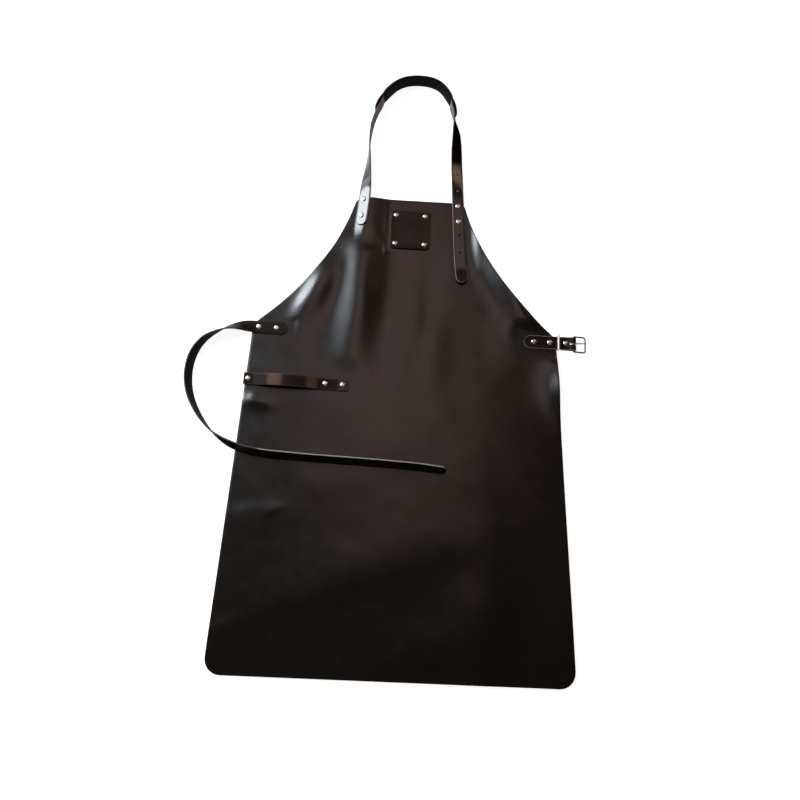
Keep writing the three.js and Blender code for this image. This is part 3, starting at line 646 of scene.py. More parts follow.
def pick(made):
    """Makes an object the only one that is selected, and the active one."""
    pick_none()
    made.select_set(True)
    bpy.context.view_layer.objects.active = made


def primitive(add, **settings):
    """A new object made by one of the tools that add a basic shape, with its place and turn in its mesh."""
    pick_none()
    add(**settings)
    bpy.ops.object.transform_apply()
    return bpy.context.active_object


@contextmanager
def edit_mode():
    """Edit mode on the active object."""
    bpy.ops.object.mode_set(mode="EDIT")
    yield
    bpy.ops.object.mode_set(mode="OBJECT")


# How squarely a face looks in a direction to be picked by it
SQUARELY = 0.9


def select_faces(made, *directions):
    """In edit mode, selects the faces that look squarely in one of the directions, and only those."""
    bpy.ops.mesh.select_mode(type="FACE")
    bpy.ops.mesh.select_all(action="DESELECT")
    shape = bmesh.from_edit_mesh(made.data)
    for face in shape.faces:
        face.select = any(face.normal.dot(Vector(way)) > SQUARELY for way in directions)
    shape.select_flush_mode()
    bmesh.update_edit_mesh(made.data)


def face_out():
    """In edit mode, turns all the faces outwards."""
    bpy.ops.mesh.select_all(action="SELECT")
    bpy.ops.mesh.normals_make_consistent(inside=False)


def extrude(x, y, z):
    """In edit mode, extrudes the selected faces by metres."""
    bpy.ops.mesh.extrude_region_move(TRANSFORM_OT_translate={"value": (x, y, z)})


def apply_modifiers(made):
    pick(made)
    for modifier in list(made.modifiers):
        bpy.ops.object.modifier_apply(modifier=modifier.name)


def break_edges(made, width, segments, angle=None):
    """Rounds an object's edges, or those that are sharper than an angle in degrees."""
    bevel = made.modifiers.new("broken edge", "BEVEL")
    bevel.width = width * MM
    bevel.segments = segments
    if angle:
        bevel.limit_method = "ANGLE"
        bevel.angle_limit = math.radians(angle)
    apply_modifiers(made)


def smooth(made, angle=40):
    """Shades an object smooth, apart from edges that are sharper than an angle in degrees."""
    pick(made)
    bpy.ops.object.shade_smooth_by_angle(angle=math.radians(angle))


def cut_away(made, cutter):
    """Takes a closed cutter out of an object, and removes the cutter."""
    modifier = made.modifiers.new("cut", "BOOLEAN")
    modifier.operation = "DIFFERENCE"
    modifier.solver = "EXACT"
    modifier.object = cutter
    apply_modifiers(made)
    bpy.data.objects.remove(cutter)


def sheet_object(name, places, finish, rim, thickness, broken_edge):
    """A sheet of leather whose middle face goes through a grid of places, with rims that show the wear."""
    points = to_frame(np.stack(places, axis=2).reshape(-1, 3))
    made = mesh_object(name, points, grid_faces(*rim.shape), [finish], rim=rim.ravel())
    wall = made.modifiers.new("leather", "SOLIDIFY")
    wall.thickness = thickness * MM
    wall.offset = 0
    break_edges(made, broken_edge, 2, 50)
    smooth(made)
    return made


def bed_matrix(bed):
    """The frame of a bed in the apron's millimetres: X along its direction, Z out of the body."""
    turn, tilt = math.radians(bed.turn), math.radians(bed.tilt)
    along = Vector((math.cos(turn), math.sin(turn), 0))
    left = Vector((-along.y, along.x, 0))
    normal = Vector((0, 0, math.cos(tilt))) + left * math.sin(tilt)
    axes = Matrix((along, normal.cross(along), normal)).transposed()
    return Matrix.Translation((bed.x, bed.y, bed.rise)) @ axes.to_4x4()


def place_mesh(made, matrix):
    """Moves a piece that was modelled at the origin in metres to a place given in the apron's millimetres."""
    shift = Matrix.Translation(Vector(matrix.translation) * MM + HEM_MIDDLE)
    made.data.transform(shift @ matrix.to_3x3().to_4x4())
    made.data.update()


def declare(made, body, slot, *nodes):
    """Ties a finished piece to its body and hides the nodes that it stands for; the slot is not used."""
    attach(made, body)
    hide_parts(*nodes)


# Straps

# Finishes of a strap's faces, as places in its list of materials
GRAIN, EDGE, FLESH = 0, 1, 2
# How far the edges of a strap are rounded, just broken or rubbed, and where the middle of a rounding lies
BROKEN, RUBBED, ROUNDING = 0.2, 0.6, 0.29
# Width of the worn rims of a strap, and how worn they are
RIM_WIDTH, RIM_WEAR = 2.5, 0.3
# Spacing of a strap's stations, and how its dull stretch fades outside and inside its ends
STRAP_STEP, DULL_OUTSIDE, DULL_INSIDE = 2.5, 15, 5


def through_points(points, samples):
    """A smooth line through places, as samples between each pair of them."""
    points = np.asarray(points, float)
    padded = np.vstack([2 * points[0] - points[1], points, 2 * points[-1] - points[-2]])
    line = []
    for k in range(1, len(points)):
        p0, p1, p2, p3 = padded[k - 1 : k + 3]
        d0, d1, d2 = (math.sqrt(np.linalg.norm(b - a)) for a, b in ((p0, p1), (p1, p2), (p2, p3)))
        start = ((p1 - p0) / d0 - (p2 - p0) / (d0 + d1) + (p2 - p1) / d1) * d1
        end = ((p2 - p1) / d1 - (p3 - p1) / (d1 + d2) + (p3 - p2) / d2) * d1
        t = np.linspace(0, 1, samples, endpoint=False)[:, None]
        bend = -3 * p1 + 3 * p2 - 2 * start - end
        twist = 2 * p1 - 2 * p2 + start + end
        line.append(p1 + start * t + bend * t**2 + twist * t**3)
    line.append(points[-1:])
    return np.vstack(line)


class StrapLine:
    """A strap's table as a line: places, directions, twists and rises by the distance run along it."""

    SAMPLES = 24
    # Averages of twists and rises: how wide they are, and how far they reach to both sides
    SOFTENING, SOFT_REACH = 5.0, 12
    # Distance to both sides over which the direction is taken
    STRIDE = 1.5

    def __init__(self, rows):
        self.places = through_points([(row.x, row.y) for row in rows], self.SAMPLES)
        steps = np.linalg.norm(np.diff(self.places, axis=0), axis=1)
        self.runs = np.concatenate([[0], np.cumsum(steps)])
        self.length = self.runs[-1]
        marks = np.arange(len(self.places)) / self.SAMPLES
        self.twists = self.softened(np.interp(marks, np.arange(len(rows)), [row.twist for row in rows]))
        self.rises = self.softened(np.interp(marks, np.arange(len(rows)), [row.rise for row in rows]))

    def softened(self, values):
        """Values averaged over a short way to both sides, so that no row leaves a kink."""
        fine = np.arange(0, self.length, 1.0)
        reach = np.arange(-self.SOFT_REACH, self.SOFT_REACH + 1)
        weights = np.exp(-((reach / self.SOFTENING) ** 2))
        padded = np.pad(np.interp(fine, self.runs, values), self.SOFT_REACH, mode="edge")
        return np.interp(self.runs, fine, np.convolve(padded, weights / weights.sum(), mode="valid"))

    def run_at(self, place):
        """Distance along the strap to the point of its line that is nearest to a place."""
        return self.runs[np.argmin(np.linalg.norm(self.places - np.array(place), axis=1))]

    def place_at(self, runs):
        return np.stack([np.interp(runs, self.runs, self.places[:, k]) for k in (0, 1)], axis=1)

    def frames(self, runs, side, width, thickness):
        """Middles, across and normal directions; side is 1 where the outside of the bend is on the left."""
        along = self.place_at(runs + self.STRIDE) - self.place_at(runs - self.STRIDE)
        along /= np.linalg.norm(along, axis=1)[:, None]
        twist = np.interp(runs, self.runs, self.twists)
        angle = np.radians(twist)
        flat = np.zeros(len(runs))
        outward = side * np.stack([-along[:, 1], along[:, 0], flat], axis=1)
        normal = np.sin(angle)[:, None] * outward
        normal[:, 2] = np.cos(angle)
        across = np.cross(normal, np.column_stack([along, flat]))
        rise = np.interp(runs, self.runs, self.rises) + standing(twist, width, thickness)
        return np.column_stack([self.place_at(runs), rise]), across, normal


def round_tip(radius):
    """Distances from the end of a round tip, with the share of the strap's width there."""
    return radius * (1 - np.cos(TIP_ANGLES)), np.sin(TIP_ANGLES)


def tip_stations(length, radius, step):
    """Distances along a strap with round tips, with the share of its width there."""
    tip, tip_share = round_tip(radius)
    count = max(2, round((length - 2 * tip[-1]) / step))
    between = np.linspace(tip[-1], length - tip[-1], count + 1)[1:-1]
    runs = np.concatenate([tip, between, length - tip[::-1]])
    return runs, np.concatenate([tip_share, np.ones(len(between)), tip_share[::-1]])


def strap_outline(width, thickness, edge, bevel, across=8):
    """A strap's section as (across, normal) places, with the finish of the face that follows each of them."""
    a, n = width / 2, thickness / 2
    cut = ROUNDING * edge
    top = [(x, n) for x in np.linspace(a - edge, edge - a, across + 1)]
    left = [(cut - a, n - cut), (-a, n - edge), (-a, edge - n), (cut - a, cut - n)]
    bottom = [(-x, -n) for x, _ in top]
    right = [(-x, -z) for x, z in left]
    finishes = [GRAIN] * across + [bevel] * 2 + [EDGE] + [FLESH] * (across + 4) + [EDGE] + [bevel] * 2
    return np.array(top + left + bottom + right), finishes


def sweep_object(name, frames, shares, section, materials, glare_and_wear=0.0, dull=0.0, ends=EDGE):
    """A closed solid over frames along a line, each with a copy of the section, narrowed by its share; its
    rims show the wear, and stations with a painted glare take the same lighter colour."""
    middles, across, normals = frames
    outline, finishes = section
    count, sides = len(middles), len(outline)
    a = outline[None, :, 0] * np.asarray(shares)[:, None]
    n = np.repeat(outline[None, :, 1], count, axis=0)
    rings = middles[:, None, :] + a[:, :, None] * across[:, None, :] + n[:, :, None] * normals[:, None, :]
    index = np.arange(count * sides).reshape(count, sides)
    turned = np.roll(index, -1, axis=1)
    quads = np.stack([index[:-1], turned[:-1], turned[1:], index[1:]], axis=2).reshape(-1, 4)
    faces = [*quads.tolist(), index[0][::-1].tolist(), index[-1].tolist()]
    tags = [*np.tile(finishes, count - 1).tolist(), ends, ends]
    half = np.abs(outline[:, 0]).max()
    rim = np.tile(smooth_step(np.abs(outline[:, 0]), half - RIM_WIDTH, half), count)
    lightening = np.maximum(RIM_WEAR * rim, np.repeat(glare_and_wear + np.zeros(count), sides))
    dulled = np.repeat(dull + np.zeros(count), sides)
    made = mesh_object(name, to_frame(rings.reshape(-1, 3)), faces, materials, tags, rim=lightening, dull=dulled)
    shape = bmesh.new()
    shape.from_mesh(made.data)
    bmesh.ops.recalc_face_normals(shape, faces=shape.faces)
    shape.to_mesh(made.data)
    shape.free()
    return made


def strap_materials(leather, grain="strap_grain", back="strap_dyed_back", edge="strap_edge"):
    """Grain side, cut edge and back of a strap, from the finishes that the straps share."""
    if "strap_grain" not in bpy.data.materials:
        # The doubled strap colour is a painted sheen on the dull waist strap and towel loop, in place of the
        # shine that they lack
        cell, painted_sheen_colour = leather.grain * 0.8, scaled(leather.strap, 2)
        leather_material("strap_grain", leather.strap, 0.26, cell, depth=0.0001, lightening=0.15, shine=0.3)
        leather_material("neck_strap_grain", leather.strap, 0.18, cell, depth=0.00006, lightening=0.15)
        leather_material("waist_strap_grain", painted_sheen_colour, 0.4, cell, depth=0.0001, lightening=0.15, shine=0.1)
        # The towel loop's worn rims and its painted glare bands take the bronze colour
        leather_material(
            "towel_grain", painted_sheen_colour, 0.45, cell, depth=0.0001, lightening=1, shine=0.07, glare_and_wear=leather.towel_glare_and_wear
        )
        # Pale cut edges: partly their raw colour, partly a painted highlight of the window on them
        suede_material("strap_edge", leather.edge, 0.6)
        # A darker copy of the edges: painted shade where edges face away from the light
        suede_material("strap_dark_edge", scaled(leather.edge, 0.25), 0.6)
        suede_material("strap_dyed_back", leather.strap, 0.8)
        suede_material("strap_flesh", leather.flesh, 0.85)
    return [bpy.data.materials[name] for name in (grain, edge, back)]


def darken_edges(strap, test):
    """Gives the cut edges of a strap a darker colour where their faces pass a test; on edges that face away
    from the light this is painted shade.
    """
    strap.data.materials.append(bpy.data.materials["strap_dark_edge"])
    for face in strap.data.polygons:
        if face.material_index == EDGE and test(face):
            face.material_index = len(strap.data.materials) - 1


def strap_along(name, line, side, materials, room=0.0, span=None, edge=BROKEN, bevel=GRAIN, dull=None):
    """A strap with round tips that follows a line, or the span of it between two distances, with room added
    to its section; its dull stretch lies between two places on the line."""
    runs, shares = tip_stations(line.length, STRAP_WIDTH / 2, STRAP_STEP)
    if span:
        inside = (runs >= span[0]) & (runs <= span[1])
        runs, shares = runs[inside], shares[inside]
    frames = line.frames(runs, side, STRAP_WIDTH, STRAP_LEATHER)
    section = strap_outline(STRAP_WIDTH + room, STRAP_LEATHER + room, edge, bevel)
    dulled = 0.0
    if dull:
        start, end = (line.run_at(place) for place in dull)
        dulled = smooth_step(runs, start - DULL_OUTSIDE, start + DULL_INSIDE)
        dulled *= 1 - smooth_step(runs, end - DULL_INSIDE, end + DULL_OUTSIDE)
    return sweep_object(name, frames, shares, section, materials, dull=dulled)


def ribbon(name, points, shares, width, matrix, materials, bevel, glare_and_wear=0.0):
    """A strap that bends up and down through (x, z) places in the frame of a matrix."""
    points = np.asarray(points, float)
    along = np.vstack([points[1:], points[-1:]]) - np.vstack([points[:1], points[:-1]])
    along /= np.linalg.norm(along, axis=1)[:, None]
    flat = np.zeros(len(points))
    turn = np.array(matrix.to_3x3())
    middles = np.column_stack([points[:, 0], flat, points[:, 1]]) @ turn.T + np.array(matrix.translation)
    normals = np.column_stack([-along[:, 1], flat, along[:, 0]]) @ turn.T
    across = np.tile([0.0, 1.0, 0.0], (len(points), 1)) @ turn.T
    section = strap_outline(width, STRAP_LEATHER, RUBBED, bevel)
    return sweep_object(name, (middles, across, normals), shares, section, materials, glare_and_wear)


def arch_point(angle):
    """A place on the neck arch."""
    c, s = math.cos(math.radians(angle)), math.sin(math.radians(angle))
    reach = math.copysign(abs(c) ** ARCH_FLATNESS, c)
    return Vector((ARCH_HALF_WIDTH * reach + ARCH_SKEW * s * s, ARCH_BASE + ARCH_HEIGHT * s))


def arch_row(row, shift, rise):
    """A strap's row from a place on the neck arch, shifted outwards."""
    along = (arch_point(row.angle - 1) - arch_point(row.angle + 1)).normalized()
    place = arch_point(row.angle)
    return StrapRow(place.x - shift * along.y, place.y + shift * along.x, row.twist, rise)


def neck_line():
    """The line of the neck strap: up its left leg, over the arch and down its right leg."""
    arch = [arch_row(row, row.shift, row.rise) for row in NECK_ARCH_ROWS]
    return StrapLine([*NECK_LEFT_LEG, *arch, *NECK_RIGHT_LEG])


# Operators


class APRON_OT_body(bpy.types.Operator):
    """Lay the body: one cut sheet of leather with its folds and flat seats"""

    bl_idname = "apron.body"
    bl_label = "Body"

    # Width of the worn rim, and how far the cut edges are broken
    RIM, BROKEN_EDGE = 6, 0.5

    def execute(self, context):
        leather = context.scene.apron.leather
        step = leather.step / MM
        rows = rounded_rows(BODY_LENGTH, HEM_RADIUS, BIB_RADIUS, step)
        half = np.array([body_half_width(row) for row in rows])
        x, y = cut_grid(rows, half, round(HEM_WIDTH / step))
        places = (x, y, body_height(x, y) + BODY_LEATHER / 2)
        inset = np.minimum(half[:, None] - np.abs(x), np.minimum(y, BODY_LENGTH - y))
        rim = 1 - smooth_step(inset, 0, self.RIM)
        finish = leather_material("body_grain", leather.body, 0.255, leather.grain, depth=0.00003, lightening=0.1)
        body = sheet_object("body_leather", places, finish, rim, BODY_LEATHER, self.BROKEN_EDGE)
        declare(body, "apron", "body_leather", "apron_body")
        return {"FINISHED"}


class APRON_OT_neck_strap(bpy.types.Operator):
    """Make the neck strap, twisted through the pad, with its spare holes"""

    bl_idname = "apron.neck_strap"
    bl_label = "Neck strap"

    # Cut edges are darker from this height over the hem up, and, as painted shade, where they face right,
    # away from the window, by this much
    LEGS, FACING = 862, 0.3
    # Ends of the dull stretch in the bend right of the pad
    BEND = (arch_point(45), (83, 930))
    # Tapered punch for the holes, and how far its middle is over the strap's
    PUNCH = {"vertices": 24, "radius1": 0.1 * MM, "radius2": 3.6 * MM, "depth": 6.2 * MM}
    PUNCH_LIFT = 1.1

    def execute(self, context):
        line = neck_line()
        finishes = strap_materials(context.scene.apron.leather, "neck_strap_grain", "strap_flesh")
        strap = strap_along("neck_strap_leather", line, 1, finishes, edge=RUBBED, bevel=EDGE, dull=self.BEND)
        legs = HEM_MIDDLE.y + self.LEGS * MM
        darken_edges(strap, lambda face: face.center.y > legs or face.normal.x > self.FACING)
        for height in NECK_HOLES:
            run = line.runs[np.flatnonzero(line.places[:, 1] >= height)[-1]]
            middles, across, normals = line.frames(np.array([run]), 1, STRAP_WIDTH, STRAP_LEATHER)
            axes = Matrix((across[0], np.cross(normals[0], across[0]), normals[0])).transposed()
            punch = primitive(bpy.ops.mesh.primitive_cone_add, **self.PUNCH)
            place_mesh(punch, Matrix.Translation(middles[0] + self.PUNCH_LIFT * normals[0]) @ axes.to_4x4())
            cut_away(strap, punch)
        smooth(strap)
        declare(strap, "apron", "strap_leather", "neck_strap")
        return {"FINISHED"}


class APRON_OT_neck_pad(bpy.types.Operator):
    """Make the neck pad: a crowned, rolled band with a slot near each end"""

    bl_idname = "apron.neck_pad"
    bl_label = "Neck pad"

    # Spacing of the stations, and the share of the width that is left at the tips
    STEP, TIP_SHARE = 2, 0.45
    # Section: its sides, how square it is across and through, and the share of thickness lost at the rims
    SIDES, SQUARE_ACROSS, SQUARE_THROUGH, CROWN = 40, 0.35, 0.5, 0.25
    # Slots between two angles of the arch, and their room for the strap
    SLOTS, SLOT_ROOM = ((129, 143), (37, 51)), 0.8

    def section(self):
        """The pad's section as (across, normal) places, with the finish of its faces."""
        outline = []
        for k in range(self.SIDES):
            angle = 2 * math.pi * (k + 0.5) / self.SIDES
            c, s = math.cos(angle), math.sin(angle)
            across = math.copysign(abs(c) ** self.SQUARE_ACROSS, c)
            through = math.copysign(abs(s) ** self.SQUARE_THROUGH, s) * (1 - self.CROWN * across**4)
            outline.append((across * PAD_WIDTH / 2, through * PAD_THICKNESS / 2))
        return np.array(outline), [GRAIN] * self.SIDES

    def execute(self, context):
        leather = context.scene.apron.leather
        inside = [row for row in NECK_ARCH_ROWS if PAD_END <= row.angle <= PAD_START]
        line = StrapLine([arch_row(row, row.pad_shift, 0) for row in inside])
        runs, shares = tip_stations(line.length, PAD_TIP, self.STEP)
        shares = self.TIP_SHARE + (1 - self.TIP_SHARE) * shares
        frames = line.frames(runs, 1, PAD_WIDTH, PAD_THICKNESS)
        finish = leather_material("pad_grain", leather.pad, 0.7, leather.grain, depth=0.00022, shine=0.04)
        pad = sweep_object("neck_pad_leather", frames, shares, self.section(), [finish], ends=GRAIN)
        strap = neck_line()
        for angles in self.SLOTS:
            span = sorted(strap.run_at(arch_point(angle)) for angle in angles)
            cut_away(pad, strap_along("slot", strap, 1, [finish], self.SLOT_ROOM, span))
        smooth(pad, 50)
        declare(pad, "apron", "pad_leather", "neck_pad")
        return {"FINISHED"}


class APRON_OT_patch(bpy.types.Operator):
    """Cut the bib's patch, with its edges curled between the rivets"""

    bl_idname = "apron.patch"
    bl_label = "Patch"

    WIDTH, HEIGHT, RADIUS = 74, 75, 9
    STEP, COLUMNS, BROKEN_EDGE = 1.5, 50, 1
    # Edges that curl up: the way that each one faces, and how far
    CURLS = [(0, -1, 1.0), (0, 1, 0.8), (-1, 0, 1.1), (1, 0, 0.7)]
    # Swell of the middle: its height, and its spread as a share of the half sizes
    SWELL, SPREAD = 0.6, 0.5
    # Share of the half sizes at which the rim starts, and how far the left rim rolls down again
    RIM, ROLL = 0.9, 0.7

    def half_width(self, y):
        return self.WIDTH / 2 - round_off(y, self.RADIUS) - round_off(self.HEIGHT - y, self.RADIUS)

    def execute(self, context):
        leather = context.scene.apron.leather
        rows = rounded_rows(self.HEIGHT, self.RADIUS, self.RADIUS, self.STEP)
        x, y = cut_grid(rows, np.array([self.half_width(row) for row in rows]), self.COLUMNS)
        y = y - self.HEIGHT / 2
        u, v = 2 * x / self.WIDTH, 2 * y / self.HEIGHT
        curl = self.SWELL * np.exp(-((u / self.SPREAD) ** 2) - (v / self.SPREAD) ** 2)
        for right, up, height in self.CURLS:
            curl += height * np.clip(right * u + up * v, 0, 1) ** 4 * (1 - (up * u + right * v) ** 2)
        curl -= self.ROLL * smooth_step(-u, self.RIM, 1) * (1 - v**4)
        bed = BEDS["patch"]
        level = bed.rise + BODY_LEATHER + GAP + PATCH_LEATHER / 2
        places = (bed.x + x, bed.y + y, level + curl)
        rim = smooth_step(np.maximum(np.abs(u), np.abs(v)), self.RIM, 1)
        finish = leather_material(
            "patch_grain", leather.patch, 0.24, leather.grain * 0.9, depth=0.00012, lightening=0.1, shine=0.19
        )
        patch = sheet_object("patch_leather", places, finish, rim, PATCH_LEATHER, self.BROKEN_EDGE)
        declare(patch, "apron", "patch_leather", "patch")
        return {"FINISHED"}


class APRON_OT_waist_strap(bpy.types.Operator):
    """Make the long waist strap, standing on edge in its loop and over the skirt"""

    bl_idname = "apron.waist_strap"
    bl_label = "Waist strap"

    # Where the loop starts, to the left of the hem's middle: its cut edges are darker
    LOOP = 240
    # Ends of the dull stretch in the loop's bend towards the skirt
    BEND = ((-342, 417), (-275, 369))

    def execute(self, context):
        line = StrapLine(WAIST_ROWS)
        finishes = strap_materials(context.scene.apron.leather, "waist_strap_grain")
        strap = strap_along("waist_strap_leather", line, -1, finishes, dull=self.BEND)
        darken_edges(strap, lambda face: face.center.x < HEM_MIDDLE.x - self.LOOP * MM)
        smooth(strap)
        declare(strap, "apron", "strap_leather", "waist_strap")
        return {"FINISHED"}


class APRON_OT_towel_loop(bpy.types.Operator):
    """Make the towel loop, flat under its rivets and slack between the first two"""

    bl_idname = "apron.towel_loop"
    bl_label = "Towel loop"

    # How far the ends go past the first and last rivet, and how far from its two rivets the slack stays
    START, END, PRESSED = 8, 9.5, 7
    # Height of the slack, how pointed it is, and the number of stations
    SLACK, POINTED, STATIONS = 8, 1.15, 91
    # Painted warm glare bands along the loop, in the lighter bronze colour: places along it, half lengths and
    # strengths, and how those fade
    GLARE_BANDS = [(-37, 13, 0.72), (27, 10, 0.42), (82, 10, 0.3)]
    FADE_INSIDE, FADE_OUTSIDE = 6, 4

    def execute(self, context):
        first, second, third = (place[0] for place in RIVETS["towel_rivet"][2])
        runs = np.linspace(first - self.START, third + self.END, self.STATIONS)
        slack_start, slack_end = first + self.PRESSED, second - self.PRESSED
        share = np.clip((runs - slack_start) / (slack_end - slack_start), 0, 1)
        level = BODY_LEATHER + GAP + STRAP_LEATHER / 2
        points = np.column_stack([runs, level + self.SLACK * np.sin(np.pi * share) ** self.POINTED])
        glare_and_wear = np.zeros(self.STATIONS)
        for place, half, strength in self.GLARE_BANDS:
            away = np.abs(runs - place)
            glare_and_wear += strength * (1 - smooth_step(away, half - self.FADE_INSIDE, half + self.FADE_OUTSIDE))
        # Its cut edges take the darker copy, a painted shade under the loop
        finishes = strap_materials(context.scene.apron.leather, "towel_grain", edge="strap_dark_edge")
        bed, shares = bed_matrix(BEDS["towel"]), np.ones(self.STATIONS)
        loop = ribbon("towel_loop_leather", points, shares, STRAP_WIDTH, bed, finishes, GRAIN, glare_and_wear)
        smooth(loop)
        declare(loop, "apron", "strap_leather", "towel_loop")
        return {"FINISHED"}


class APRON_OT_buckle_strap(bpy.types.Operator):
    """Make the buckle strap, folded round the heel bar, with the slot for the tongue"""

    bl_idname = "apron.buckle_strap"
    bl_label = "Buckle strap"

    # How far before the fold the two layers start to part
    PARTING = 4
    # Stations along the upper layer, each parting layer, the fold and the lower layer
    UPPER, PARTED, FOLDED, LOWER = 24, 8, 15, 5
    # Rounding of the slot as a share of its width
    SLOT_ROUNDING = 0.42

    def layers(self):
        """Places from the tip, round the bar, to the end of the lower layer, with shares of the width."""
        radius = FOLD_INNER + STRAP_LEATHER / 2
        half = BUCKLE_STRAP_WIDTH / 2
        tip, tip_shares = round_tip(half)
        start = FOLD_START - self.PARTING
        upper = np.concatenate([BUCKLE_TIP + tip, np.linspace(BUCKLE_TIP + half, start, self.UPPER)[1:]])
        share = np.linspace(0, 1, self.PARTED)[1:-1]
        parting, climb = start + (BAR_X - start) * share, smooth_step(share, 0, 1)
        angles = np.radians(np.linspace(90, -90, self.FOLDED))
        lower = np.linspace(start, FOLD_END, self.LOWER)
        x = np.concatenate([upper, parting, BAR_X + radius * np.cos(angles), parting[::-1], lower])
        heights = [
            np.full(len(upper), UPPER_LAYER),
            UPPER_LAYER + (BAR_HEIGHT + radius - UPPER_LAYER) * climb,
            BAR_HEIGHT + radius * np.sin(angles),
            LOWER_LAYER + (BAR_HEIGHT - radius - LOWER_LAYER) * climb[::-1],
            np.full(len(lower), LOWER_LAYER),
        ]
        points = np.column_stack([x, np.concatenate(heights)])
        return points, np.concatenate([tip_shares, np.ones(len(points) - len(tip))])

    def execute(self, context):
        points, shares = self.layers()
        finishes = strap_materials(context.scene.apron.leather)
        middle = BEDS["buckle"].y
        matrix = Matrix.Translation((0, middle, 0))
        strap = ribbon("buckle_strap_leather", points, shares, BUCKLE_STRAP_WIDTH, matrix, finishes, EDGE)
        reach = BAR_X - SLOT_START
        slot = primitive(bpy.ops.mesh.primitive_cube_add, size=2 * reach * MM)
        with edit_mode():
            bpy.ops.transform.resize(value=(1, SLOT_WIDTH / (2 * reach), 1))
            bpy.ops.mesh.bevel(offset=self.SLOT_ROUNDING * SLOT_WIDTH * MM, segments=6, affect="EDGES")
        place_mesh(slot, Matrix.Translation((BAR_X, middle, BAR_HEIGHT)))
        cut_away(strap, slot)
        smooth(strap)
        declare(strap, "apron", "strap_leather", "buckle_strap")
        return {"FINISHED"}


class APRON_OT_rivets(bpy.types.Operator):
    """Set the rivets and screws: one of each kind is modelled and copied"""

    bl_idname = "apron.rivets"
    bl_label = "Rivets"

    # Steps of the dome from its rim: how far each ring is inset and raised, as shares of the cap
    DOME = [(0.08, 0.35), (0.16, 0.27), (0.2, 0.2), (0.22, 0.12), (0.2, 0.06)]
    # Share of the cap's height that is its upright skirt
    SKIRT = 0.35
    # Radii of the stem and of the flat cap at the back, and the broken edges
    STEM, BACK, BROKEN_EDGE = 1.8, 4.5, 0.15
    # Screws: their height against a rivet's, and the width and height of the bar that cuts their slot
    SCREW_HEIGHT, SLOT_WIDTH, SLOT_HEIGHT = 0.72, 1.1, 1.0

    def model(self, metal, pile, screw):
        """A rivet or screw standing on the body's lower face, for a pile of leather of the given height."""
        dome = metal.dome * (self.SCREW_HEIGHT if screw else 1)
        skirt = dome * self.SKIRT
        seat = pile + GAP * MM
        rivet = primitive(
            bpy.ops.mesh.primitive_cylinder_add,
            vertices=metal.sides,
            radius=metal.cap,
            depth=skirt,
            location=(0, 0, seat + skirt / 2),
        )
        with edit_mode():
            select_faces(rivet, (0, 0, 1))
            for inset, rise in self.DOME:
                bpy.ops.mesh.inset(thickness=inset * metal.cap, depth=0)
                bpy.ops.transform.translate(value=(0, 0, rise * (dome - skirt)))
            select_faces(rivet, (0, 0, -1))
            bpy.ops.mesh.inset(thickness=metal.cap - self.STEM * MM, depth=0)
            extrude(0, 0, -(seat + GAP * MM))
            extrude(0, 0, 0)
            bpy.ops.transform.resize(value=(self.BACK / self.STEM, self.BACK / self.STEM, 1))
            extrude(0, 0, -RIVET_BACK * MM)
            face_out()
        if screw:
            slot = primitive(bpy.ops.mesh.primitive_cube_add, size=MM, location=(0, 0, seat + dome))
            with edit_mode():
                bpy.ops.transform.resize(value=(3 * metal.cap / MM, self.SLOT_WIDTH, self.SLOT_HEIGHT))
            cut_away(rivet, slot)
        break_edges(rivet, self.BROKEN_EDGE, 2, 40)
        smooth(rivet, 35)
        return rivet

    def execute(self, context):
        metal = context.scene.apron.metal
        nickel = nickel_material("rivet_nickel", metal.rivet, 0.24)
        models = {}
        for kind, (bed, leather, places) in RIVETS.items():
            screw = kind == "neck_screw"
            for number, place in enumerate(places, 1):
                node = f"{kind}_{number}"
                key = (leather, place[2], screw)
                if key not in models:
                    pile = (BODY_LEATHER + GAP + leather - place[2]) * MM
                    models[key] = self.model(metal, pile, screw)
                rivet = bpy.data.objects.new(node + "_metal", models[key].data.copy())
                context.scene.collection.objects.link(rivet)
                rivet.data.materials.append(nickel)
                place_mesh(rivet, bed_matrix(BEDS[bed]) @ Matrix.Translation(place))
                declare(rivet, "apron", "metal", node)
        for model in models.values():
            bpy.data.objects.remove(model)
        return {"FINISHED"}


class APRON_OT_keeper(bpy.types.Operator):
    """Make the keeper: a flat wire loop round the buckle strap"""

    bl_idname = "apron.keeper"
    bl_label = "Keeper"

    # The band's width and thickness, the room inside it across and over the strap, and its rounding
    BAND, WALL, INNER_WIDTH, ROOM, ROUNDING = 3.6, 1.6, 25, 5, 0.76

    def execute(self, context):
        low = UPPER_LAYER - STRAP_LEATHER / 2 - GAP
        high = UPPER_LAYER + STRAP_LEATHER / 2 + self.ROOM
        width, height = self.INNER_WIDTH + 2 * self.WALL, high - low + 2 * self.WALL
        keeper = primitive(bpy.ops.mesh.primitive_cube_add, size=MM)
        keeper.name = "keeper_metal"
        with edit_mode():
            bpy.ops.transform.resize(value=(self.BAND, width, height))
            select_faces(keeper, (1, 0, 0), (-1, 0, 0))
            bpy.ops.mesh.inset(thickness=self.WALL * MM, depth=0, use_individual=True)
            bpy.ops.mesh.bridge_edge_loops()
        break_edges(keeper, self.ROUNDING, 5)
        smooth(keeper, 50)
        metal = context.scene.apron.metal
        keeper.data.materials.append(nickel_material("keeper_nickel", metal.keeper, 0.42))
        place_mesh(keeper, Matrix.Translation((KEEPER_X, BEDS["buckle"].y, (low + high) / 2)))
        declare(keeper, "apron", "metal", "keeper")
        return {"FINISHED"}


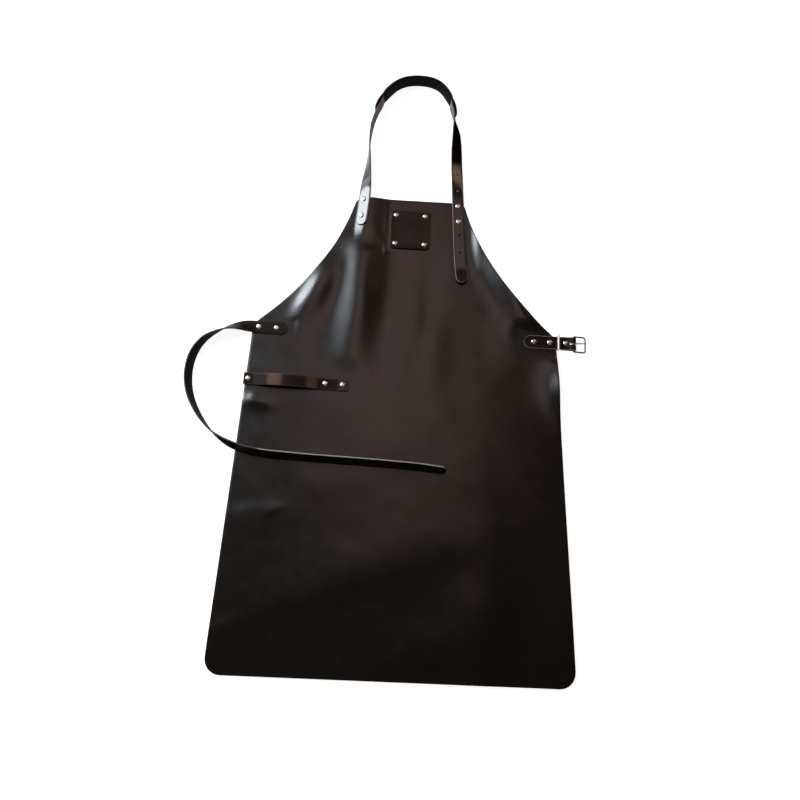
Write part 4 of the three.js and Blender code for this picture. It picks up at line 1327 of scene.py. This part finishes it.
class APRON_OT_buckle(bpy.types.Operator):
    """Make the buckle: its wire frame on the heel bar, and its tongue"""

    bl_idname = "apron.buckle"
    bl_label = "Buckle"

    FAR_CORNER, HEEL_CORNER = 4, 1.7
    # The tongue's ring: its radius, its wire's radius, and how many times that wire is widened along the bar
    RING, RING_WIRE, RING_WIDTH = 2.3, 0.6, 2.8
    # The tongue's root: its radius and length before the tongue is flattened, and how it is flattened
    ROOT, ROOT_LENGTH, FLATTENED = 0.95, 0.8, (1, 1.25, 0.78)
    # Steps of the tongue from its ring: how far each goes ahead, its rise, and its size against the last
    TONGUE = [(5.4, 0.7, 1), (6, 0.1, 0.95), (6, -0.25, 0.9), (4, -0.3, 0.75), (0.6, -0.05, 0.6)]

    def frame(self, context):
        """The wire frame, lying ahead of a heel bar that goes through the origin."""
        made = primitive(bpy.ops.mesh.primitive_plane_add, size=MM)
        middle = FRAME_LENGTH / 2 * MM
        with edit_mode():
            bpy.ops.transform.resize(value=(FRAME_LENGTH, FRAME_WIDTH, 1))
            bpy.ops.transform.translate(value=(middle, 0, 0))
            for far, radius in ((True, self.FAR_CORNER), (False, self.HEEL_CORNER)):
                bpy.ops.mesh.select_mode(type="VERT")
                bpy.ops.mesh.select_all(action="DESELECT")
                shape = bmesh.from_edit_mesh(made.data)
                for corner in shape.verts:
                    corner.select = (corner.co.x > middle) == far
                bmesh.update_edit_mesh(made.data)
                bpy.ops.mesh.bevel(offset=radius * MM, segments=8, affect="VERTICES")
            bpy.ops.mesh.select_mode(type="FACE")
            bpy.ops.mesh.select_all(action="SELECT")
            bpy.ops.mesh.delete(type="ONLY_FACE")
        bpy.ops.object.convert(target="CURVE")
        wire = context.active_object
        wire.data.bevel_depth = BAR_WIRE * MM
        wire.data.bevel_resolution = 5
        bpy.ops.object.convert(target="MESH")
        made = context.active_object
        made.name = "buckle_frame_metal"
        smooth(made, 60)
        return made

    def tongue(self, context):
        """The tongue, lying ahead of its ring round the same bar."""
        ring = primitive(
            bpy.ops.mesh.primitive_torus_add,
            major_segments=32,
            minor_segments=12,
            major_radius=self.RING * MM,
            minor_radius=self.RING_WIRE * MM,
            rotation=(math.pi / 2, 0, 0),
        )
        with edit_mode():
            bpy.ops.transform.resize(value=(1, self.RING_WIDTH, 1))
        top = (0, 0, self.RING * MM)
        finger = primitive(
            bpy.ops.mesh.primitive_cylinder_add,
            vertices=16,
            radius=self.ROOT * MM,
            depth=self.ROOT_LENGTH * MM,
            location=top,
            rotation=(0, math.pi / 2, 0),
        )
        with edit_mode():
            select_faces(finger, (1, 0, 0))
            for ahead, rise, size in self.TONGUE:
                extrude(ahead * MM, 0, rise * MM)
                bpy.ops.transform.resize(value=(1, size, size))
            face_out()
            bpy.ops.transform.resize(value=self.FLATTENED, center_override=top)
        bow = finger.modifiers.new("bow", "SUBSURF")
        bow.levels = 2
        apply_modifiers(finger)
        ring.select_set(True)
        context.view_layer.objects.active = ring
        bpy.ops.object.join()
        ring.name = "buckle_prong_metal"
        smooth(ring, 60)
        return ring

    def execute(self, context):
        metal = context.scene.apron.metal
        nickel = nickel_material("buckle_nickel", metal.buckle, 0.2)
        tilt = math.asin((BAR_HEIGHT - BAR_WIRE) / FRAME_LENGTH)
        bar = Matrix.Translation((BAR_X, BEDS["buckle"].y, BAR_HEIGHT))
        for made, turn, node in (
            (self.frame(context), tilt, "buckle_frame"),
            (self.tongue(context), tilt - math.radians(PRONG_LIFT), "buckle_prong"),
        ):
            made.data.materials.append(nickel)
            place_mesh(made, bar @ Matrix.Rotation(turn, 4, "Y"))
            declare(made, node, "metal", node)
        return {"FINISHED"}


class APRON_OT_stage(bpy.types.Operator):
    """Set the floor, the soft lights and the camera"""

    bl_idname = "apron.stage"
    bl_label = "Stage"

    # Lights: place and aim over the hem's middle in metres, width and height, power in watts and colour
    LIGHTS = {
        "window": ((-1.6, 1.75, 1.67), (-0.05, 0.65, 0), (1.6, 0.8), 92, (0.86, 0.93, 1.0)),
        "window sill": ((-2.1, 1.6, 0.62), (-0.1, 0.85, 0.1), (2.0, 1.1), 34, (0.9, 0.95, 1.0)),
        "skylight": ((-1.15, 1.4, 2.6), (-1.15, 1.4, 0), (0.5, 0.8), 4.2, (0.8, 0.9, 1.0)),
        "ceiling": ((0, 1.56, 2.6), (0, 1.56, 0), (0.82, 1.68), 5.6, (1.0, 0.72, 0.65)),
        "lamp": ((1.16, 2.1, 1.78), (0.1, 0.8, 0), (0.7, 0.5), 3.6, (1.0, 0.62, 0.42)),
        "hem fill": ((0.4, -2.4, 1.3), (0, 0.3, 0), (2.2, 1.2), 8, (1.0, 0.97, 0.94)),
    }
    # Warm light from all around, and its strength
    ROOM, ROOM_STRENGTH = (1, 0.78, 0.55, 1), 0.06
    # The floor's width in metres, and the width of the camera's sensor in millimetres
    FLOOR_WIDTH, SENSOR = 12, 36

    def look(self, place, aim):
        """The turn of a light or camera that looks from a place at another."""
        return (Vector(aim) - Vector(place)).to_track_quat("-Z", "Y")

    def execute(self, context):
        stage = context.scene.apron.stage
        floor = primitive(bpy.ops.mesh.primitive_plane_add, size=self.FLOOR_WIDTH, location=HEM_MIDDLE)
        floor.name = "floor"
        floor.data.materials.append(floor_material(stage.floor))
        for name, (place, aim, size, power, colour) in self.LIGHTS.items():
            lamp = bpy.data.lights.new(name, "AREA")
            lamp.shape = "RECTANGLE"
            lamp.size, lamp.size_y = size
            lamp.energy = power
            lamp.color = colour
            light = bpy.data.objects.new(name, lamp)
            context.scene.collection.objects.link(light)
            light.location = HEM_MIDDLE + Vector(place)
            light.rotation_euler = self.look(place, aim).to_euler()
        world = bpy.data.worlds.new("room")
        world.use_nodes = True
        tree = world.node_tree
        feed(tree, tree.nodes["Background"], Color=self.ROOM, Strength=self.ROOM_STRENGTH)
        context.scene.world = world
        context.scene.view_settings.view_transform = "Standard"
        camera = bpy.data.objects.new("camera", bpy.data.cameras.new("camera"))
        context.scene.collection.objects.link(camera)
        camera.data.lens = stage.lens
        camera.data.sensor_width = self.SENSOR
        turn = self.look(stage.camera, stage.target).to_matrix().to_4x4()
        place = Matrix.Translation(HEM_MIDDLE + Vector(stage.camera))
        camera.matrix_world = place @ turn @ Matrix.Rotation(stage.roll, 4, "Z")
        context.scene.camera = camera
        return {"FINISHED"}


class VIEW3D_PT_apron(bpy.types.Panel):
    """Settings and steps of the apron"""

    bl_label = "Leather apron"
    bl_space_type = "VIEW_3D"
    bl_region_type = "UI"
    bl_category = "Apron"

    def draw(self, context):
        settings = context.scene.apron
        for group in (settings.leather, settings.metal, settings.stage):
            box = self.layout.box()
            for name in group.__annotations__:
                box.prop(group, name)
        for operator in OPERATORS:
            self.layout.operator(operator.bl_idname)


OPERATORS = (
    APRON_OT_stage,
    APRON_OT_body,
    APRON_OT_neck_pad,
    APRON_OT_neck_strap,
    APRON_OT_patch,
    APRON_OT_waist_strap,
    APRON_OT_towel_loop,
    APRON_OT_buckle_strap,
    APRON_OT_keeper,
    APRON_OT_buckle,
    APRON_OT_rivets,
)
CLASSES = (ApronLeather, ApronMetal, ApronStage, ApronSettings, *OPERATORS, VIEW3D_PT_apron)


def register():
    for cls in CLASSES:
        bpy.utils.register_class(cls)
    bpy.types.Scene.apron = PointerProperty(type=ApronSettings)


def unregister():
    del bpy.types.Scene.apron
    for cls in reversed(CLASSES):
        bpy.utils.unregister_class(cls)


def main():
    register()
    bpy.ops.apron.stage()
    bpy.ops.apron.body()
    bpy.ops.apron.neck_pad()
    bpy.ops.apron.neck_strap()
    bpy.ops.apron.patch()
    bpy.ops.apron.waist_strap()
    bpy.ops.apron.towel_loop()
    bpy.ops.apron.buckle_strap()
    bpy.ops.apron.keeper()
    bpy.ops.apron.buckle()
    bpy.ops.apron.rivets()


if __name__ == "__main__":
    main()
